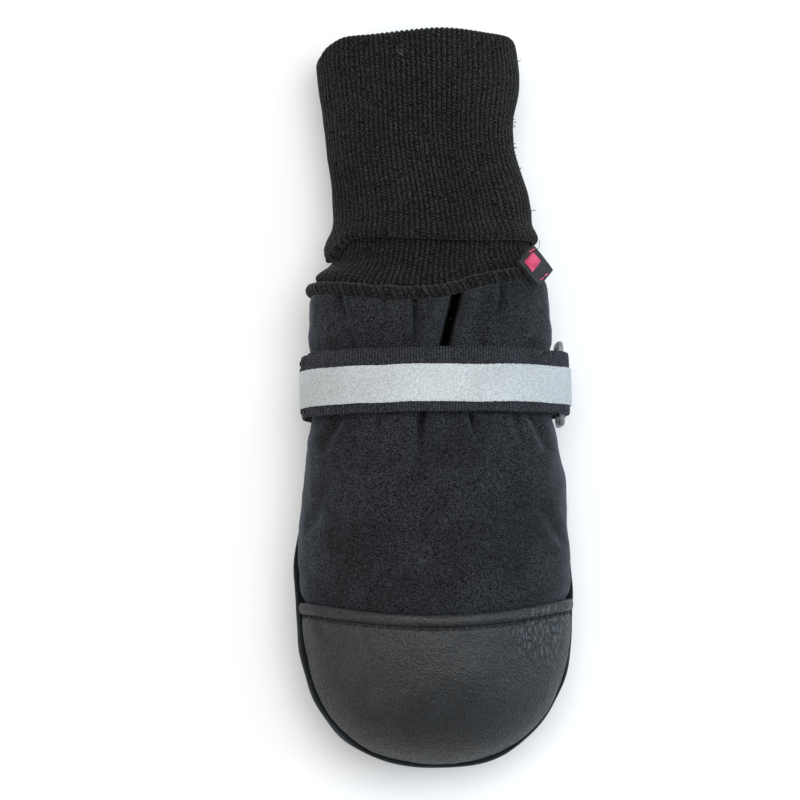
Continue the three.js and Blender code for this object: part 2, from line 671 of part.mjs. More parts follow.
const shoe = new THREE.Group();
shoe.add(part("sole", soleGeometry(), 0x10161a, 0.95));
shoe.add(part("insole", insoleGeometry(), 0x2a2a2e, 1));
shoe.add(part("upper", upperGeometry(), 0x17181c, 0.9));
shoe.add(part("toe_cap", capGeometry(), 0x1d2023, 0.45));
shoe.add(part("collar_band", collarGeometry(), 0x161514, 0.95));
shoe.add(part("cuff", cuffGeometry(), 0x161514, 0.95));
shoe.add(part("strap", strapGeometry(), 0x0d0d0e, 0.7));
shoe.add(part("back_webbing", backGeometry(), 0x0d0d0e, 0.7));
shoe.add(part("reflective_tape", tapeGeometry(), 0xb9bcc0, 0.35, 0.3));

const ring = part("strap_ring", ringGeometry(), 0x26282b, 0.3);
ring.position.set(barX, plan(strapAt), RING_HEIGHT);
shoe.add(ring);

// The tag leaves the collar seam at the right, lies over the knit roll and leans out past the cuff.
const tag = part("side_tag", tagGeometry(), 0x111114, 0.8);
const tagSeat = collarEdge(1, TAG_SEAT, 0);
const tagProud = COLLAR_ROLL - BEAD_INSIDE + GAP + TAG_LEAF + TAG_OPEN / 2;
const tagFace = outward(tagSeat, 1, TAG_SEAT);
const tagAlong = new THREE.Vector3(Math.sin(TAG_LEAN * RADIAN), Math.cos(TAG_LEAN * RADIAN), 0);
tagAlong.addScaledVector(tagFace, -tagAlong.dot(tagFace)).normalize();
const tagAcross = new THREE.Vector3().crossVectors(tagAlong, tagFace);
tag.quaternion.setFromRotationMatrix(new THREE.Matrix4().makeBasis(tagAlong, tagFace, tagAcross));
tag.position.copy(lastPoint(tagSeat, 1, TAG_SEAT, -tagProud)).addScaledVector(tagAlong, TAG_START);
tag.position.z += GAP;
shoe.add(tag);

export default shoe;
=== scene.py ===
# %% [markdown]
# # A soft dog shoe, from the frame to the last thread
# The real shoe is sewn from five cloths: suede under the paw, grain leather over the toe, a napped
# fabric for the body, rib knit for the long cuff, and webbing for the strap. It stands on its sole
# with the slack cuff stretched out behind it. The frame below holds its fixed pieces at their real
# size, so every mesh made here is fitted to that frame and nothing is resized afterwards.

# %% Load the frame
import math

import bpy
import numpy as np
from mathutils import Matrix, Vector


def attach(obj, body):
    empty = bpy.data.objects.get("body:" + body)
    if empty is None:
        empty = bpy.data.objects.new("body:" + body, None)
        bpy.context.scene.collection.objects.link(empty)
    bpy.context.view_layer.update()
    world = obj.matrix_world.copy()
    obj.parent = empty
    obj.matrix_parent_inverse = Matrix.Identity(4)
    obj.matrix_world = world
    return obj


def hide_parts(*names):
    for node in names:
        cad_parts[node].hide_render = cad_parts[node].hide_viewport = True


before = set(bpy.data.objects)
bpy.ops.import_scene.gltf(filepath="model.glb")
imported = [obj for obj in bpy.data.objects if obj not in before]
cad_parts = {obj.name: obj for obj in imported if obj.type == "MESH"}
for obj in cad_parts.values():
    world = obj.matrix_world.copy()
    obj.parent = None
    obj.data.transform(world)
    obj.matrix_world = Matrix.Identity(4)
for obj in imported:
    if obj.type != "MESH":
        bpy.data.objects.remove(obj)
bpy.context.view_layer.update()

# %% [markdown]
# ## Sizes
# A shoemaker works on a last, a solid foot that gives every piece its form. The sizes of that last
# are named here in millimetres, measured from the toe tip. They could be read off the frame's boxes,
# but a curved form needs more than a box, so the few sizes it grows from are written out.

# %% Sizes of the last
MM = 0.001
BALL_WIDTH = 84.2
BALL_HEIGHT = 42
TOE_LENGTH = 48
FOOT_LENGTH = 143
WRIST_WIDTH = 73.2
WRIST_HEIGHT = 34
TOE_ROUNDNESS = 2.35
TOP_ROUNDNESS = 2.15
CROWN_AT = 38
SOLE_CORNER = 15
STRAP_ROOM = 3.6
GAP = 0.3

# Along, width, height and lift, as shares: the foot behind its widest line.
BODY = [
    (0.0, 1.0, 1.0, 0.0),
    (0.13, 0.99, 0.99, 0.0),
    (0.31, 0.67, 0.84, 0.0),
    (0.45, 0.42, 0.58, 0.0),
    (0.53, 0.24, 0.38, 0.12),
    (0.6, 0.0, 0.02, 1.0),
    (0.72, 0.0, 0.0, 1.0),
    (0.86, 0.0, 0.0, 1.0),
    (0.93, 0.08, 0.14, 0.6),
    (1.0, 0.05, 0.1, 0.4),
    (1.1, -0.12, 0.05, 0.4),
]
WIDTH, HEIGHT, LIFT = 1, 2, 3

# %% [markdown]
# ## The last as a function
# A rib is one cross-section. Round the toe the ribs fan out from the crown, and behind the ball they
# lie straight across. A point of the last is a place along the foot, t, and a turn round the rib:
# 0 is the right side, 90 the top, 180 the left side and 270 underneath. The same function could be
# sculpted by hand, but as code it gives the sole, the cap and the body one common surface.


# %% Curves and directions
def mix(a, b, share):
    return a + (b - a) * share


def smooth(value, low, high):
    """0 below low, 1 above high, and a soft S between them."""
    t = np.clip((value - low) / (high - low), 0, 1)
    return t * t * (3 - 2 * t)


def hill(value, middle, width):
    """1 in the middle, and falling softly to 0 about two widths away."""
    return np.exp(-(((value - middle) / width) ** 2))


def boxy(wave, power):
    """A sine or cosine made fuller, so that a circle becomes a rounded box."""
    return np.sign(wave) * np.abs(wave) ** power


def unit(vectors):
    """Vectors made one long."""
    return vectors / np.maximum(np.linalg.norm(vectors, axis=-1, keepdims=True), 1e-9)


def run_along(path):
    """Length of a path up to each of its points."""
    return np.concatenate([[0], np.cumsum(np.linalg.norm(np.diff(path, axis=0), axis=1))])


def follow(at, rows, column):
    """A smooth curve through one column of a table, which never overshoots its rows."""
    x = np.array([row[0] for row in rows], float)
    y = np.array([row[column] for row in rows], float)
    slope = np.diff(y) / np.diff(x)
    tangent = np.concatenate([slope[:1], np.zeros(len(x) - 2), slope[-1:]])
    before, after = slope[:-1], slope[1:]
    same = before * after > 0
    tangent[1:-1][same] = 2 * before[same] * after[same] / (before + after)[same]
    at = np.clip(at, x[0], x[-1])
    i = np.clip(np.searchsorted(x, at, side="right") - 1, 0, len(x) - 2)
    step = x[i + 1] - x[i]
    t = (at - x[i]) / step
    rest = 1 - t
    level = y[i] * rest * rest * (1 + 2 * t) + y[i + 1] * t * t * (3 - 2 * t)
    return level + step * t * rest * (rest * tangent[i] - t * tangent[i + 1])


# %% Ribs and points of the last
def station(t):
    """One rib: half its width, where its edge and its middle lie, its top, side and floor."""
    toe = np.clip(t, 0, 1)
    along = np.clip(t - 1, 0, None)
    turn = toe * math.pi / 2
    power = 2 / TOE_ROUNDNESS
    front = t < 1
    at = mix(TOE_LENGTH, FOOT_LENGTH, along)
    floor = np.where(front, 0, STRAP_ROOM * follow(along, BODY, LIFT))
    top = mix(WRIST_HEIGHT + STRAP_ROOM, BALL_HEIGHT, follow(along, BODY, HEIGHT))
    side = floor + mix(0.37, 0.5, np.clip(along / 0.6, 0, 1)) * (top - floor)
    width = mix(WRIST_WIDTH, BALL_WIDTH, follow(along, BODY, WIDTH)) / 2
    return {
        "x": np.where(front, BALL_WIDTH / 2 * np.sin(turn) ** power, width),
        "edge": np.where(front, TOE_LENGTH * (1 - np.cos(turn) ** power), at),
        "spine": np.where(front, mix(CROWN_AT, TOE_LENGTH, toe**2), at),
        "top": np.where(front, BALL_HEIGHT, top),
        "side": np.where(front, mix(0.33, 0.37, toe) * BALL_HEIGHT, side),
        "floor": floor,
    }


def station_at(distance):
    return 1 + (distance - TOE_LENGTH) / (FOOT_LENGTH - TOE_LENGTH)


def hand_and_angle(turn):
    """Which side of the foot a turn is on, and its angle above the side."""
    turned = np.mod(turn, 360)
    hand = np.where((turned > 90) & (turned < 270), -1.0, 1.0)
    angle = np.where(turned <= 90, turned, np.where(turned <= 270, 180 - turned, turned - 360))
    return hand, angle


def on_last(t, turn):
    t, turn = np.broadcast_arrays(np.asarray(t, float), np.asarray(turn, float))
    rib = station(t)
    hand, angle = hand_and_angle(turn)
    power = 2 / TOP_ROUNDNESS
    bent = np.radians(np.clip(angle, 0, 90))
    reach_over = np.clip(np.cos(bent), 0, 1) ** power
    z_over = rib["side"] + (rib["top"] - rib["side"]) * np.clip(np.sin(bent), 0, 1) ** power
    corner = SOLE_CORNER / np.maximum(rib["x"], TOE_LENGTH * (1 - t))
    down = np.clip(-angle / 45, 0, 2)
    curl = np.minimum(down, 1) * math.pi / 2
    reach_under = 1 - corner * (1 - np.cos(curl)) - (1 - corner) * np.maximum(down - 1, 0)
    z_under = rib["side"] - (rib["side"] - rib["floor"]) * np.sin(curl)
    over = angle >= 0
    reach = np.where(over, reach_over, reach_under)
    y = mix(rib["spine"], rib["edge"], reach) - TOE_LENGTH
    return np.stack([hand * rib["x"] * reach, y, np.where(over, z_over, z_under)], -1)


def outward(t, turn):
    t, turn = np.broadcast_arrays(np.asarray(t, float), np.asarray(turn, float))
    small = 0.004
    here = np.maximum(t, small)
    along = on_last(here + small, turn) - on_last(here - small, turn)
    around = on_last(here, turn + 60 * small) - on_last(here, turn - 60 * small)
    normal = np.cross(along, around)
    rib = station(here)
    middle = np.stack([0 * rib["x"], rib["spine"] - TOE_LENGTH, rib["side"]], -1)
    inwards = ((on_last(here, turn) - middle) * normal).sum(-1) < 0
    normal[inwards] *= -1
    normal[t == 0, 0] = 0
    return unit(normal)


def last_point(t, turn, proud=0.0):
    """A point that stands proud of the last by so many millimetres, or lies under it."""
    proud = np.asarray(proud, float)
    return on_last(t, turn) + outward(t, turn) * proud[..., None]


ball = on_last(1.0, np.array([0.0, 90.0]))
print("side and top of the ball, mm:", ball.round(1).tolist())

# %% [markdown]
# ## Seam lines
# Four lines are drawn on the last before any cloth is cut: the sole's edge, the back edge of the toe
# cap, the collar, and the two edges of the strap. The pieces stop at these lines, so a seam closes
# because both cloths ask the same function where it is.

# %% Sizes of the seams
SEAM_RISE = 13
SOLE_LENGTH = 105
SOLE_HEEL_WIDTH = 40
CAP_LENGTH = 44.8
CAP_SWEEP = 5.9
BAND_WIDTH = 3.4
COLLAR_WIDTH = 71.6
COLLAR_RISE = 4.1
COLLAR_TILT = 2
COLLAR_ROLL = 3.6
STRAP_AT = 116.21
WEBBING_WIDTH = 19


# %% Functions of the seams
def seam_angle(t):
    """Angle of the sole's edge above the widest line: level round the toe, then down and under."""
    at = mix(TOE_LENGTH, FOOT_LENGTH, t - 1)
    share = np.clip((at - TOE_LENGTH) / (SOLE_LENGTH - TOE_LENGTH), 0, 1)
    flat = station(np.asarray(station_at(SOLE_LENGTH)))["x"] - SOLE_CORNER
    heel = -45 - 45 * np.clip(1 - SOLE_HEEL_WIDTH / 2 / flat, 0, 1)
    return mix(SEAM_RISE, heel, share**1.25)


def where_past(turn, is_past):
    """The t on each rib line at which a test on the point turns true."""
    turn = np.asarray(turn, float)
    low, high = np.full(turn.shape, 0.2), np.full(turn.shape, 2.3)
    for _ in range(36):
        middle = (low + high) / 2
        past = is_past(on_last(middle, turn))
        high = np.where(past, middle, high)
        low = np.where(past, low, middle)
    return (low + high) / 2


def cap_line(x):
    """Distance from the toe tip to the cap's back edge."""
    return CAP_LENGTH + CAP_SWEEP * (x / (BALL_WIDTH / 2)) ** 2


def cap_edge(turn, inset=0.0):
    hand, angle = hand_and_angle(turn)
    raised = np.maximum(angle, SEAM_RISE)
    turned = np.where(hand > 0, raised, 180 - raised)
    return where_past(turned, lambda p: p[..., 1] + TOE_LENGTH > cap_line(p[..., 0]) - inset)


def collar_line(x):
    share = np.clip(x / (COLLAR_WIDTH / 2), -1, 1)
    pushed = 2.2 * smooth(x, 0, 17) + 1.0 * smooth(-x, 8, 30)
    return FOOT_LENGTH + COLLAR_RISE * share**2 + COLLAR_TILT * share + pushed


def collar_edge(turn, inset=0.0):
    return where_past(turn, lambda p: p[..., 1] + TOE_LENGTH > collar_line(p[..., 0]) - inset)


print("cap edge at the middle and side:", cap_edge(np.array([90.0, 13.0])).round(3).tolist())

# %% [markdown]
# ## From grids to closed meshes
# Cloth has two faces and an edge. Each piece is first a grid of points on its outer face, then a
# matching grid on its inner face, and the open edges are bridged. Doing this by hand in numpy is
# quicker than a Solidify modifier and lets the two faces differ, as a seam allowance does.


# %% Mesh helpers
def grid_faces(rows, columns, keep=None, ring=False):
    """Quads of a grid of points. ring joins the last column to the first one."""
    spans = columns if ring else columns - 1
    row, column = np.meshgrid(np.arange(rows - 1), np.arange(spans), indexing="ij")
    if keep is not None:
        row, column = row[keep], column[keep]
    row, column = row.ravel(), column.ravel()
    after = (column + 1) % columns
    return np.stack([row * columns + column, row * columns + after,
                     (row + 1) * columns + after, (row + 1) * columns + column], -1)


def weld(points, faces):
    """Points that lie on each other become one."""
    _, first, same = np.unique((points * 1e4).round().astype(np.int64), axis=0,
                               return_index=True, return_inverse=True)
    return first, same.reshape(-1)[faces]


def clean_faces(faces):
    """Faces as lists, without the corners that a weld has joined."""
    rows = faces.tolist()
    short = [[a for a, b in zip(row, row[1:] + row[:1]) if a != b] for row in rows]
    return [row for row in short if len(row) > 2]


def open_edges(faces):
    count = {}
    for row in faces:
        for a, b in zip(row, row[1:] + row[:1]):
            if (b, a) in count:
                del count[(b, a)]
            else:
                count[(a, b)] = True
    return list(count)


def new_piece(name, points, faces, uv=None):
    """An object from points in millimetres. uv gives each point its place on the flat cloth."""
    mesh = bpy.data.meshes.new(name)
    mesh.from_pydata((np.asarray(points) * MM).tolist(), [], faces)
    mesh.validate()
    if uv is not None:
        layer = mesh.uv_layers.new(name="cloth")
        corners = np.zeros(len(mesh.loops), np.int32)
        mesh.loops.foreach_get("vertex_index", corners)
        layer.data.foreach_set("uv", np.asarray(uv, np.float32)[corners].ravel())
    mesh.polygons.foreach_set("use_smooth", np.ones(len(mesh.polygons), bool))
    mesh.update()
    piece = bpy.data.objects.new(name, mesh)
    bpy.context.scene.collection.objects.link(piece)
    return piece


def closed_wall(name, outer, inner, faces, uv=None):
    """A piece of cloth: outer face, inner face and the edge between them."""
    outer, inner = outer.reshape(-1, 3), inner.reshape(-1, 3)
    first, faces = weld(outer, faces)
    outer, inner = outer[first], inner[first]
    rows = clean_faces(faces)
    count = len(outer)
    back = [[corner + count for corner in reversed(row)] for row in rows]
    rim = [[b, a, a + count, b + count] for a, b in open_edges(rows)]
    if uv is not None:
        uv = np.concatenate([uv.reshape(-1, 2)[first]] * 2)
    return new_piece(name, np.concatenate([outer, inner]), rows + back + rim, uv)


def closed_ring(name, points, uv=None):
    """A closed mesh from a grid whose rows and columns both come round to their start."""
    closed = np.concatenate([points, points[:1]])
    first, faces = weld(closed.reshape(-1, 3), grid_faces(*closed.shape[:2], ring=True))
    if uv is not None:
        uv = np.concatenate([uv, uv[:1]]).reshape(-1, 2)[first]
    return new_piece(name, closed.reshape(-1, 3)[first], clean_faces(faces), uv)


def turn_outwards(piece):
    """Faces point out of a closed mesh when its volume is positive."""
    mesh = piece.data
    points = np.zeros(len(mesh.vertices) * 3)
    mesh.vertices.foreach_get("co", points)
    points = points.reshape(-1, 3)
    mesh.calc_loop_triangles()
    corners = np.zeros(len(mesh.loop_triangles) * 3, np.int32)
    mesh.loop_triangles.foreach_get("vertices", corners)
    a, b, c = points[corners.reshape(-1, 3)].transpose(1, 0, 2)
    volume = (a * np.cross(b, c)).sum() / 6
    if volume < 0:
        mesh.flip_normals()
    return abs(volume)


def settle(piece, material, slot, *nodes):
    """The last step for every piece: its finish, the body it rides on and the node it stands for."""
    piece.data.materials.append(material)
    volume = turn_outwards(piece)
    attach(piece, "root")
    if nodes:
        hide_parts(*nodes)
    print(f"{piece.name}: {len(piece.data.polygons)} faces, {volume * 1e6:.2f} cubic centimetres")
    return piece


# %% [markdown]
# ## Threads, stitches and fibres
# Thread is the smallest thing on the shoe. A stitch is a short bead of thread that dips into the
# cloth at both ends, and a fibre is a thin bent tube. Both are built as one joined mesh from arrays,
# because thousands of small objects would slow the scene down.


# %% Thread helpers
def tubes(name, paths, radii, sides=5):
    """One mesh of many thin closed tubes. paths is an array: tube, point, xyz."""
    paths = np.asarray(paths, float)
    count, steps, _ = paths.shape
    radii = np.broadcast_to(np.asarray(radii, float), (count, steps))
    ahead = unit(np.gradient(paths, axis=1))
    helper = np.where(np.abs(ahead[..., 2:]) > 0.9, [1.0, 0.0, 0.0], [0.0, 0.0, 1.0])
    across = unit(np.cross(ahead, helper))
    above = np.cross(across, ahead)
    turn = np.arange(sides) / sides * 2 * math.pi
    ring = across[:, :, None] * np.cos(turn)[:, None] + above[:, :, None] * np.sin(turn)[:, None]
    points = paths[:, :, None] + ring * radii[..., None, None]
    one = grid_faces(steps, sides, ring=True)
    block = steps * sides
    faces = (one[None] + np.arange(count)[:, None, None] * block).reshape(-1, 4).tolist()
    starts = np.arange(count) * block
    faces += [list(range(s + sides - 1, s - 1, -1)) for s in starts]
    faces += [list(range(s + block - sides, s + block)) for s in starts]
    return new_piece(name, points.reshape(-1, 3), faces)


def at_pitch(path, values, pitch):
    """Values that go with the points of a path, read at a fixed pitch along it."""
    run = run_along(path)
    at = np.arange(pitch / 2, run[-1], pitch)
    return np.stack([np.interp(at, run, values[:, k]) for k in range(3)], -1)


def stitch_row(name, path, up, pitch, length, radius, sink=0.5, slant=0.0):
    """A row of stitches along a path. up is the direction out of the cloth at each path point."""
    spots = at_pitch(path, path, pitch)
    ups = unit(at_pitch(path, up, pitch))
    ahead = unit(np.gradient(spots, axis=0))
    ahead = unit(ahead + slant * np.cross(ahead, ups))
    share = np.linspace(-1, 1, 7)
    lift = radius * (1 - sink * 2 * np.abs(share) ** 3)
    bead = spots[:, None] + ahead[:, None] * (share * length / 2)[:, None] + ups[:, None] * lift[:, None]
    thick = radius * (1 - 0.35 * np.abs(share) ** 4)
    return tubes(name, bead, np.broadcast_to(thick, bead.shape[:2]), 6)


def stray_fibres(name, starts, ups, length, radius, seed, spread=0.8):
    """Short bent fibres that stand out of the cloth, longer and shorter by chance."""
    chance = np.random.default_rng(seed)
    count = len(starts)
    way = unit(ups + chance.normal(0, spread, (count, 3)))
    curl = chance.normal(0, 0.6, (count, 3))
    size = length * chance.uniform(0.4, 1.3, count)
    share = np.linspace(0, 1, 5)
    line = way[:, None] * share[:, None] + curl[:, None] * (share**2)[:, None] * 0.5
    paths = starts[:, None] + line * size[:, None, None] - ups[:, None] * radius * 2
    thin = radius * (1 - 0.6 * share)
    return tubes(name, paths, np.broadcast_to(thin, paths.shape[:2]), 4)


def lumps(points, size, seed):
    """Soft random relief from a few crossed waves, about -1 to 1."""
    chance = np.random.default_rng(seed)
    total = np.zeros(points.shape[:-1])
    for _ in range(9):
        way = chance.normal(0, 1, 3)
        way *= chance.uniform(0.6, 1.6) * 2 * math.pi / size / np.linalg.norm(way)
        total += np.sin(points @ way + chance.uniform(0, 2 * math.pi))
    return total / 4.5


# %% [markdown]
# ## Floor, light and camera
# The shoe is seen almost straight down, a little from the toe and from the left, so its left flank
# just shows. A long lens far away keeps the outline true. The light is that of a studio tent: a large
# soft lamp above, a cooler one on the right and a weak fill on the left.

# %% Camera
LOOK_AT = Vector((-9.5, 64, 20)) * MM
CAMERA_AWAY = 1.4
FRAME_WIDTH = 0.244
SENSOR = 36
TOWARDS_TOE = math.radians(6)
TOWARDS_LEFT = math.radians(5)
ROLL = math.radians(1.2)


def make_camera():
    data = bpy.data.cameras.new("camera")
    data.sensor_width = SENSOR
    data.lens = SENSOR * CAMERA_AWAY / FRAME_WIDTH
    data.clip_end = 20
    camera = bpy.data.objects.new("camera", data)
    back = Vector((-math.tan(TOWARDS_LEFT), -math.tan(TOWARDS_TOE), 1)).normalized()
    up = Vector((math.sin(ROLL), math.cos(ROLL), 0))
    right = up.cross(back).normalized()
    turned = Matrix((right, back.cross(right), back)).transposed().to_4x4()
    camera.matrix_world = Matrix.Translation(LOOK_AT + back * CAMERA_AWAY) @ turned
    bpy.context.scene.collection.objects.link(camera)
    bpy.context.scene.camera = camera
    print("lens, mm:", round(data.lens, 1))


make_camera()

# %% Lamps
LAMPS = [
    # name, place in metres, size in metres, watts, colour
    ("overhead", (0.1, 0.35, 1.25), 1.1, 11, (1.0, 0.985, 0.965)),
    ("right", (1.1, 0.1, 0.55), 0.7, 6.5, (0.6, 0.82, 1.0)),
    ("left", (-1.0, -0.2, 0.7), 0.8, 2.6, (1.0, 0.96, 0.92)),
]


def make_lamps():
    for name, place, size, watts, colour in LAMPS:
        data = bpy.data.lights.new(name, "AREA")
        data.size = size
        data.energy = watts
        data.color = colour
        lamp = bpy.data.objects.new(name, data)
        lamp.location = place
        lamp.rotation_euler = (LOOK_AT - Vector(place)).to_track_quat("-Z", "Y").to_euler()
        bpy.context.scene.collection.objects.link(lamp)
    world = bpy.data.worlds.new("tent")
    world.use_nodes = True
    world.node_tree.nodes["Background"].inputs["Color"].default_value = (0.94, 0.97, 1, 1)
    world.node_tree.nodes["Background"].inputs["Strength"].default_value = 0.45
    bpy.context.scene.world = world
    bpy.context.scene.view_settings.view_transform = "Standard"
    print("lamps:", len(LAMPS))


make_lamps()

# %% [markdown]
# ## Shader tools
# A finish is a graph of nodes. Two small helpers keep those graphs readable: one adds a node with its
# settings and links in a single call, the other starts a node group with named sockets. An effect
# that several cloths share, such as nap or lint, is then built once as a group.


# %% Node helpers
def add(tree, kind, inputs=None, **settings):
    """A node with its settings, and its inputs as values or links."""
    node = tree.nodes.new(kind)
    for key, value in settings.items():
        setattr(node, key, value)
    for key, value in (inputs or {}).items():
        if isinstance(value, bpy.types.NodeSocket):
            tree.links.new(value, node.inputs[key])
        else:
            node.inputs[key].default_value = value
    return node


def maths(tree, operation, a, b=0.0, c=0.0):
    return add(tree, "ShaderNodeMath", {0: a, 1: b, 2: c}, operation=operation).outputs[0]


def blend(tree, share, a, b):
    """A mix of two colours."""
    node = add(tree, "ShaderNodeMix", data_type="RGBA")
    colours = [socket for socket in node.inputs if socket.type == "RGBA"]
    for socket, value in ((node.inputs[0], share), (colours[0], a), (colours[1], b)):
        if isinstance(value, bpy.types.NodeSocket):
            tree.links.new(value, socket)
        else:
            socket.default_value = value
    return [socket for socket in node.outputs if socket.type == "RGBA"][0]


def times(tree, a, b):
    """One colour multiplied by another."""
    node = add(tree, "ShaderNodeMix", data_type="RGBA", blend_type="MULTIPLY")
    node.inputs[0].default_value = 1
    colours = [socket for socket in node.inputs if socket.type == "RGBA"]
    tree.links.new(a, colours[0])
    tree.links.new(b, colours[1])
    return [socket for socket in node.outputs if socket.type == "RGBA"][0]


def between(tree, value, low, high, to_low=0.0, to_high=1.0):
    """A value moved from one range to another, with a soft start and end."""
    inputs = {"Value": value, "From Min": low, "From Max": high, "To Min": to_low, "To Max": to_high}
    node = add(tree, "ShaderNodeMapRange", inputs, interpolation_type="SMOOTHSTEP")
    return node.outputs["Result"]


def new_group(name, inputs, outputs):
    group = bpy.data.node_groups.new(name, "ShaderNodeTree")
    for label, kind, value in inputs:
        socket = group.interface.new_socket(label, in_out="INPUT", socket_type="NodeSocket" + kind)
        if value is not None:
            socket.default_value = value
    for label, kind in outputs:
        group.interface.new_socket(label, in_out="OUTPUT", socket_type="NodeSocket" + kind)
    start = group.nodes.new("NodeGroupInput")
    end = group.nodes.new("NodeGroupOutput")
    return group, start.outputs, end.inputs


# %% [markdown]
# ## Effects that several cloths share
# Nap is the short fuzz of brushed cloth. Grain is the fine change from light to dark, thread by thread.
# Flecks are the specks of lint and glitter that any dark cloth picks up. Soft shade is the slow change
# of tone over a whole panel, from handling and from the way the nap lies. Each is a group with its
# scale per metre, because all pieces share one frame in metres.


# %% Nap, grain, flecks and soft shade
def nap_group():
    group, given, out = new_group(
        "nap",
        [("Vector", "Vector", None), ("Scale", "Float", 900.0), ("Clumps", "Float", 0.4)],
        [("Height", "Float")],
    )
    fine = add(group, "ShaderNodeTexNoise",
               {"Vector": given["Vector"], "Scale": given["Scale"], "Detail": 4.0, "Roughness": 0.65})
    coarse_scale = maths(group, "MULTIPLY", given["Scale"], 0.22)
    coarse = add(group, "ShaderNodeTexNoise",
                 {"Vector": given["Vector"], "Scale": coarse_scale, "Detail": 2.0, "Distortion": 0.4})
    clumped = maths(group, "MULTIPLY", coarse.outputs[0], given["Clumps"])
    group.links.new(maths(group, "ADD", fine.outputs[0], clumped), out["Height"])
    return group


def flecks_group():
    group, given, out = new_group(
        "flecks",
        [("Vector", "Vector", None), ("Scale", "Float", 500.0), ("Amount", "Float", 0.1),
         ("Size", "Float", 0.25)],
        [("Mask", "Float")],
    )
    cells = add(group, "ShaderNodeTexVoronoi", {"Vector": given["Vector"], "Scale": given["Scale"]})
    chance = add(group, "ShaderNodeSeparateColor", {"Color": cells.outputs["Color"]})
    chosen = maths(group, "LESS_THAN", chance.outputs[0], given["Amount"])
    near = between(group, cells.outputs["Distance"], given["Size"], 0.0)
    group.links.new(maths(group, "MULTIPLY", chosen, near), out["Mask"])
    return group


def soft_shade_group():
    group, given, out = new_group(
        "soft shade",
        [("Vector", "Vector", None), ("Scale", "Float", 40.0), ("Dark", "Color", (0, 0, 0, 1)),
         ("Light", "Color", (1, 1, 1, 1))],
        [("Color", "Color")],
    )
    slow = add(group, "ShaderNodeTexNoise",
               {"Vector": given["Vector"], "Scale": given["Scale"], "Detail": 3.0, "Roughness": 0.55})
    share = between(group, slow.outputs[0], 0.34, 0.68)
    group.links.new(blend(group, share, given["Dark"], given["Light"]), out["Color"])
    return group


def grain_group():
    group, given, out = new_group(
        "grain",
        [("Vector", "Vector", None), ("Scale", "Float", 1700.0), ("Low", "Float", 0.2),
         ("High", "Float", 1.8)],
        [("Value", "Float")],
    )
    fine = add(group, "ShaderNodeTexNoise",
               {"Vector": given["Vector"], "Scale": given["Scale"], "Detail": 1.5, "Roughness": 0.6})
    share = between(group, fine.outputs[0], 0.38, 0.62)
    span = maths(group, "SUBTRACT", given["High"], given["Low"])
    group.links.new(maths(group, "MULTIPLY_ADD", share, span, given["Low"]), out["Value"])
    return group


NAP = nap_group()
GRAIN = grain_group()
FLECKS = flecks_group()
SOFT_SHADE = soft_shade_group()
print("shared effects:", [group.name for group in bpy.data.node_groups])

# %% [markdown]
# Knit and webbing both show yarns in rows, so they share a group for yarn relief. It reads the cloth's
# own flat coordinates in millimetres, which each mesh carries, so the yarns follow every bend.


# %% Yarn relief
def yarn_group():
    group, given, out = new_group(
        "yarn rows",
        [("Cloth", "Vector", None), ("Across", "Float", 1.55), ("Along", "Float", 1.1),
         ("Slant", "Float", 0.5), ("Shift", "Float", 0.0)],
        [("Height", "Float"), ("Crest", "Float")],
    )
    flat = add(group, "ShaderNodeSeparateXYZ", {"Vector": given["Cloth"]})
    column = maths(group, "DIVIDE", flat.outputs[0], given["Across"])
    place_in = maths(group, "ABSOLUTE", maths(group, "SUBTRACT", maths(group, "FRACT", column), 0.5))
    lean = maths(group, "MULTIPLY", place_in, given["Slant"])
    own = maths(group, "FLOOR", maths(group, "ADD", column, 0.5))
    start = maths(group, "MULTIPLY_ADD", own, given["Shift"], lean)
    row = maths(group, "ADD", maths(group, "DIVIDE", flat.outputs[1], given["Along"]), start)
    wave = maths(group, "SINE", maths(group, "MULTIPLY", row, 2 * math.pi))
    loop = maths(group, "MULTIPLY_ADD", wave, 0.5, 0.5)
    middle = between(group, place_in, 0.0, 0.09)
    group.links.new(between(group, place_in, 0.03, 0.3), out["Crest"])
    group.links.new(maths(group, "MULTIPLY", loop, middle), out["Height"])
    return group


YARN = yarn_group()


# %% Starting a finish
def start_finish(name, roughness, specular=0.5, sheen=0.0, sheen_roughness=0.4, sheen_tint=None):
    """A new material: its tree, its Principled shader, the frame coordinates and the cloth's own."""
    material = bpy.data.materials.new(name)
    material.use_nodes = True
    tree = material.node_tree
    shader = tree.nodes["Principled BSDF"]
    shader.inputs["Roughness"].default_value = roughness
    shader.inputs["Specular IOR Level"].default_value = specular
    shader.inputs["Sheen Weight"].default_value = sheen
    shader.inputs["Sheen Roughness"].default_value = sheen_roughness
    if sheen_tint:
        shader.inputs["Sheen Tint"].default_value = sheen_tint
    coordinates = tree.nodes.new("ShaderNodeTexCoord")
    return material, tree, shader, coordinates.outputs["Object"], coordinates.outputs["UV"]


def relief(tree, shader, height, distance, strength):
    bump = add(tree, "ShaderNodeBump", {"Height": height, "Distance": distance, "Strength": strength})
    tree.links.new(bump.outputs["Normal"], shader.inputs["Normal"])


def use(tree, group, **inputs):
    """A shared effect in a finish, with its inputs as values or links."""
    return add(tree, "ShaderNodeGroup", inputs, node_tree=group).outputs


def tone_of(tree, here, scale, dark, light):
    return use(tree, SOFT_SHADE, Vector=here, Scale=scale, Dark=(*dark, 1), Light=(*light, 1))[0]


def grain_of(tree, here, scale, low, high):
    return use(tree, GRAIN, Vector=here, Scale=scale, Low=low, High=high)[0]


def flecks_of(tree, here, scale, amount, size):
    return use(tree, FLECKS, Vector=here, Scale=scale, Amount=amount, Size=size)[0]


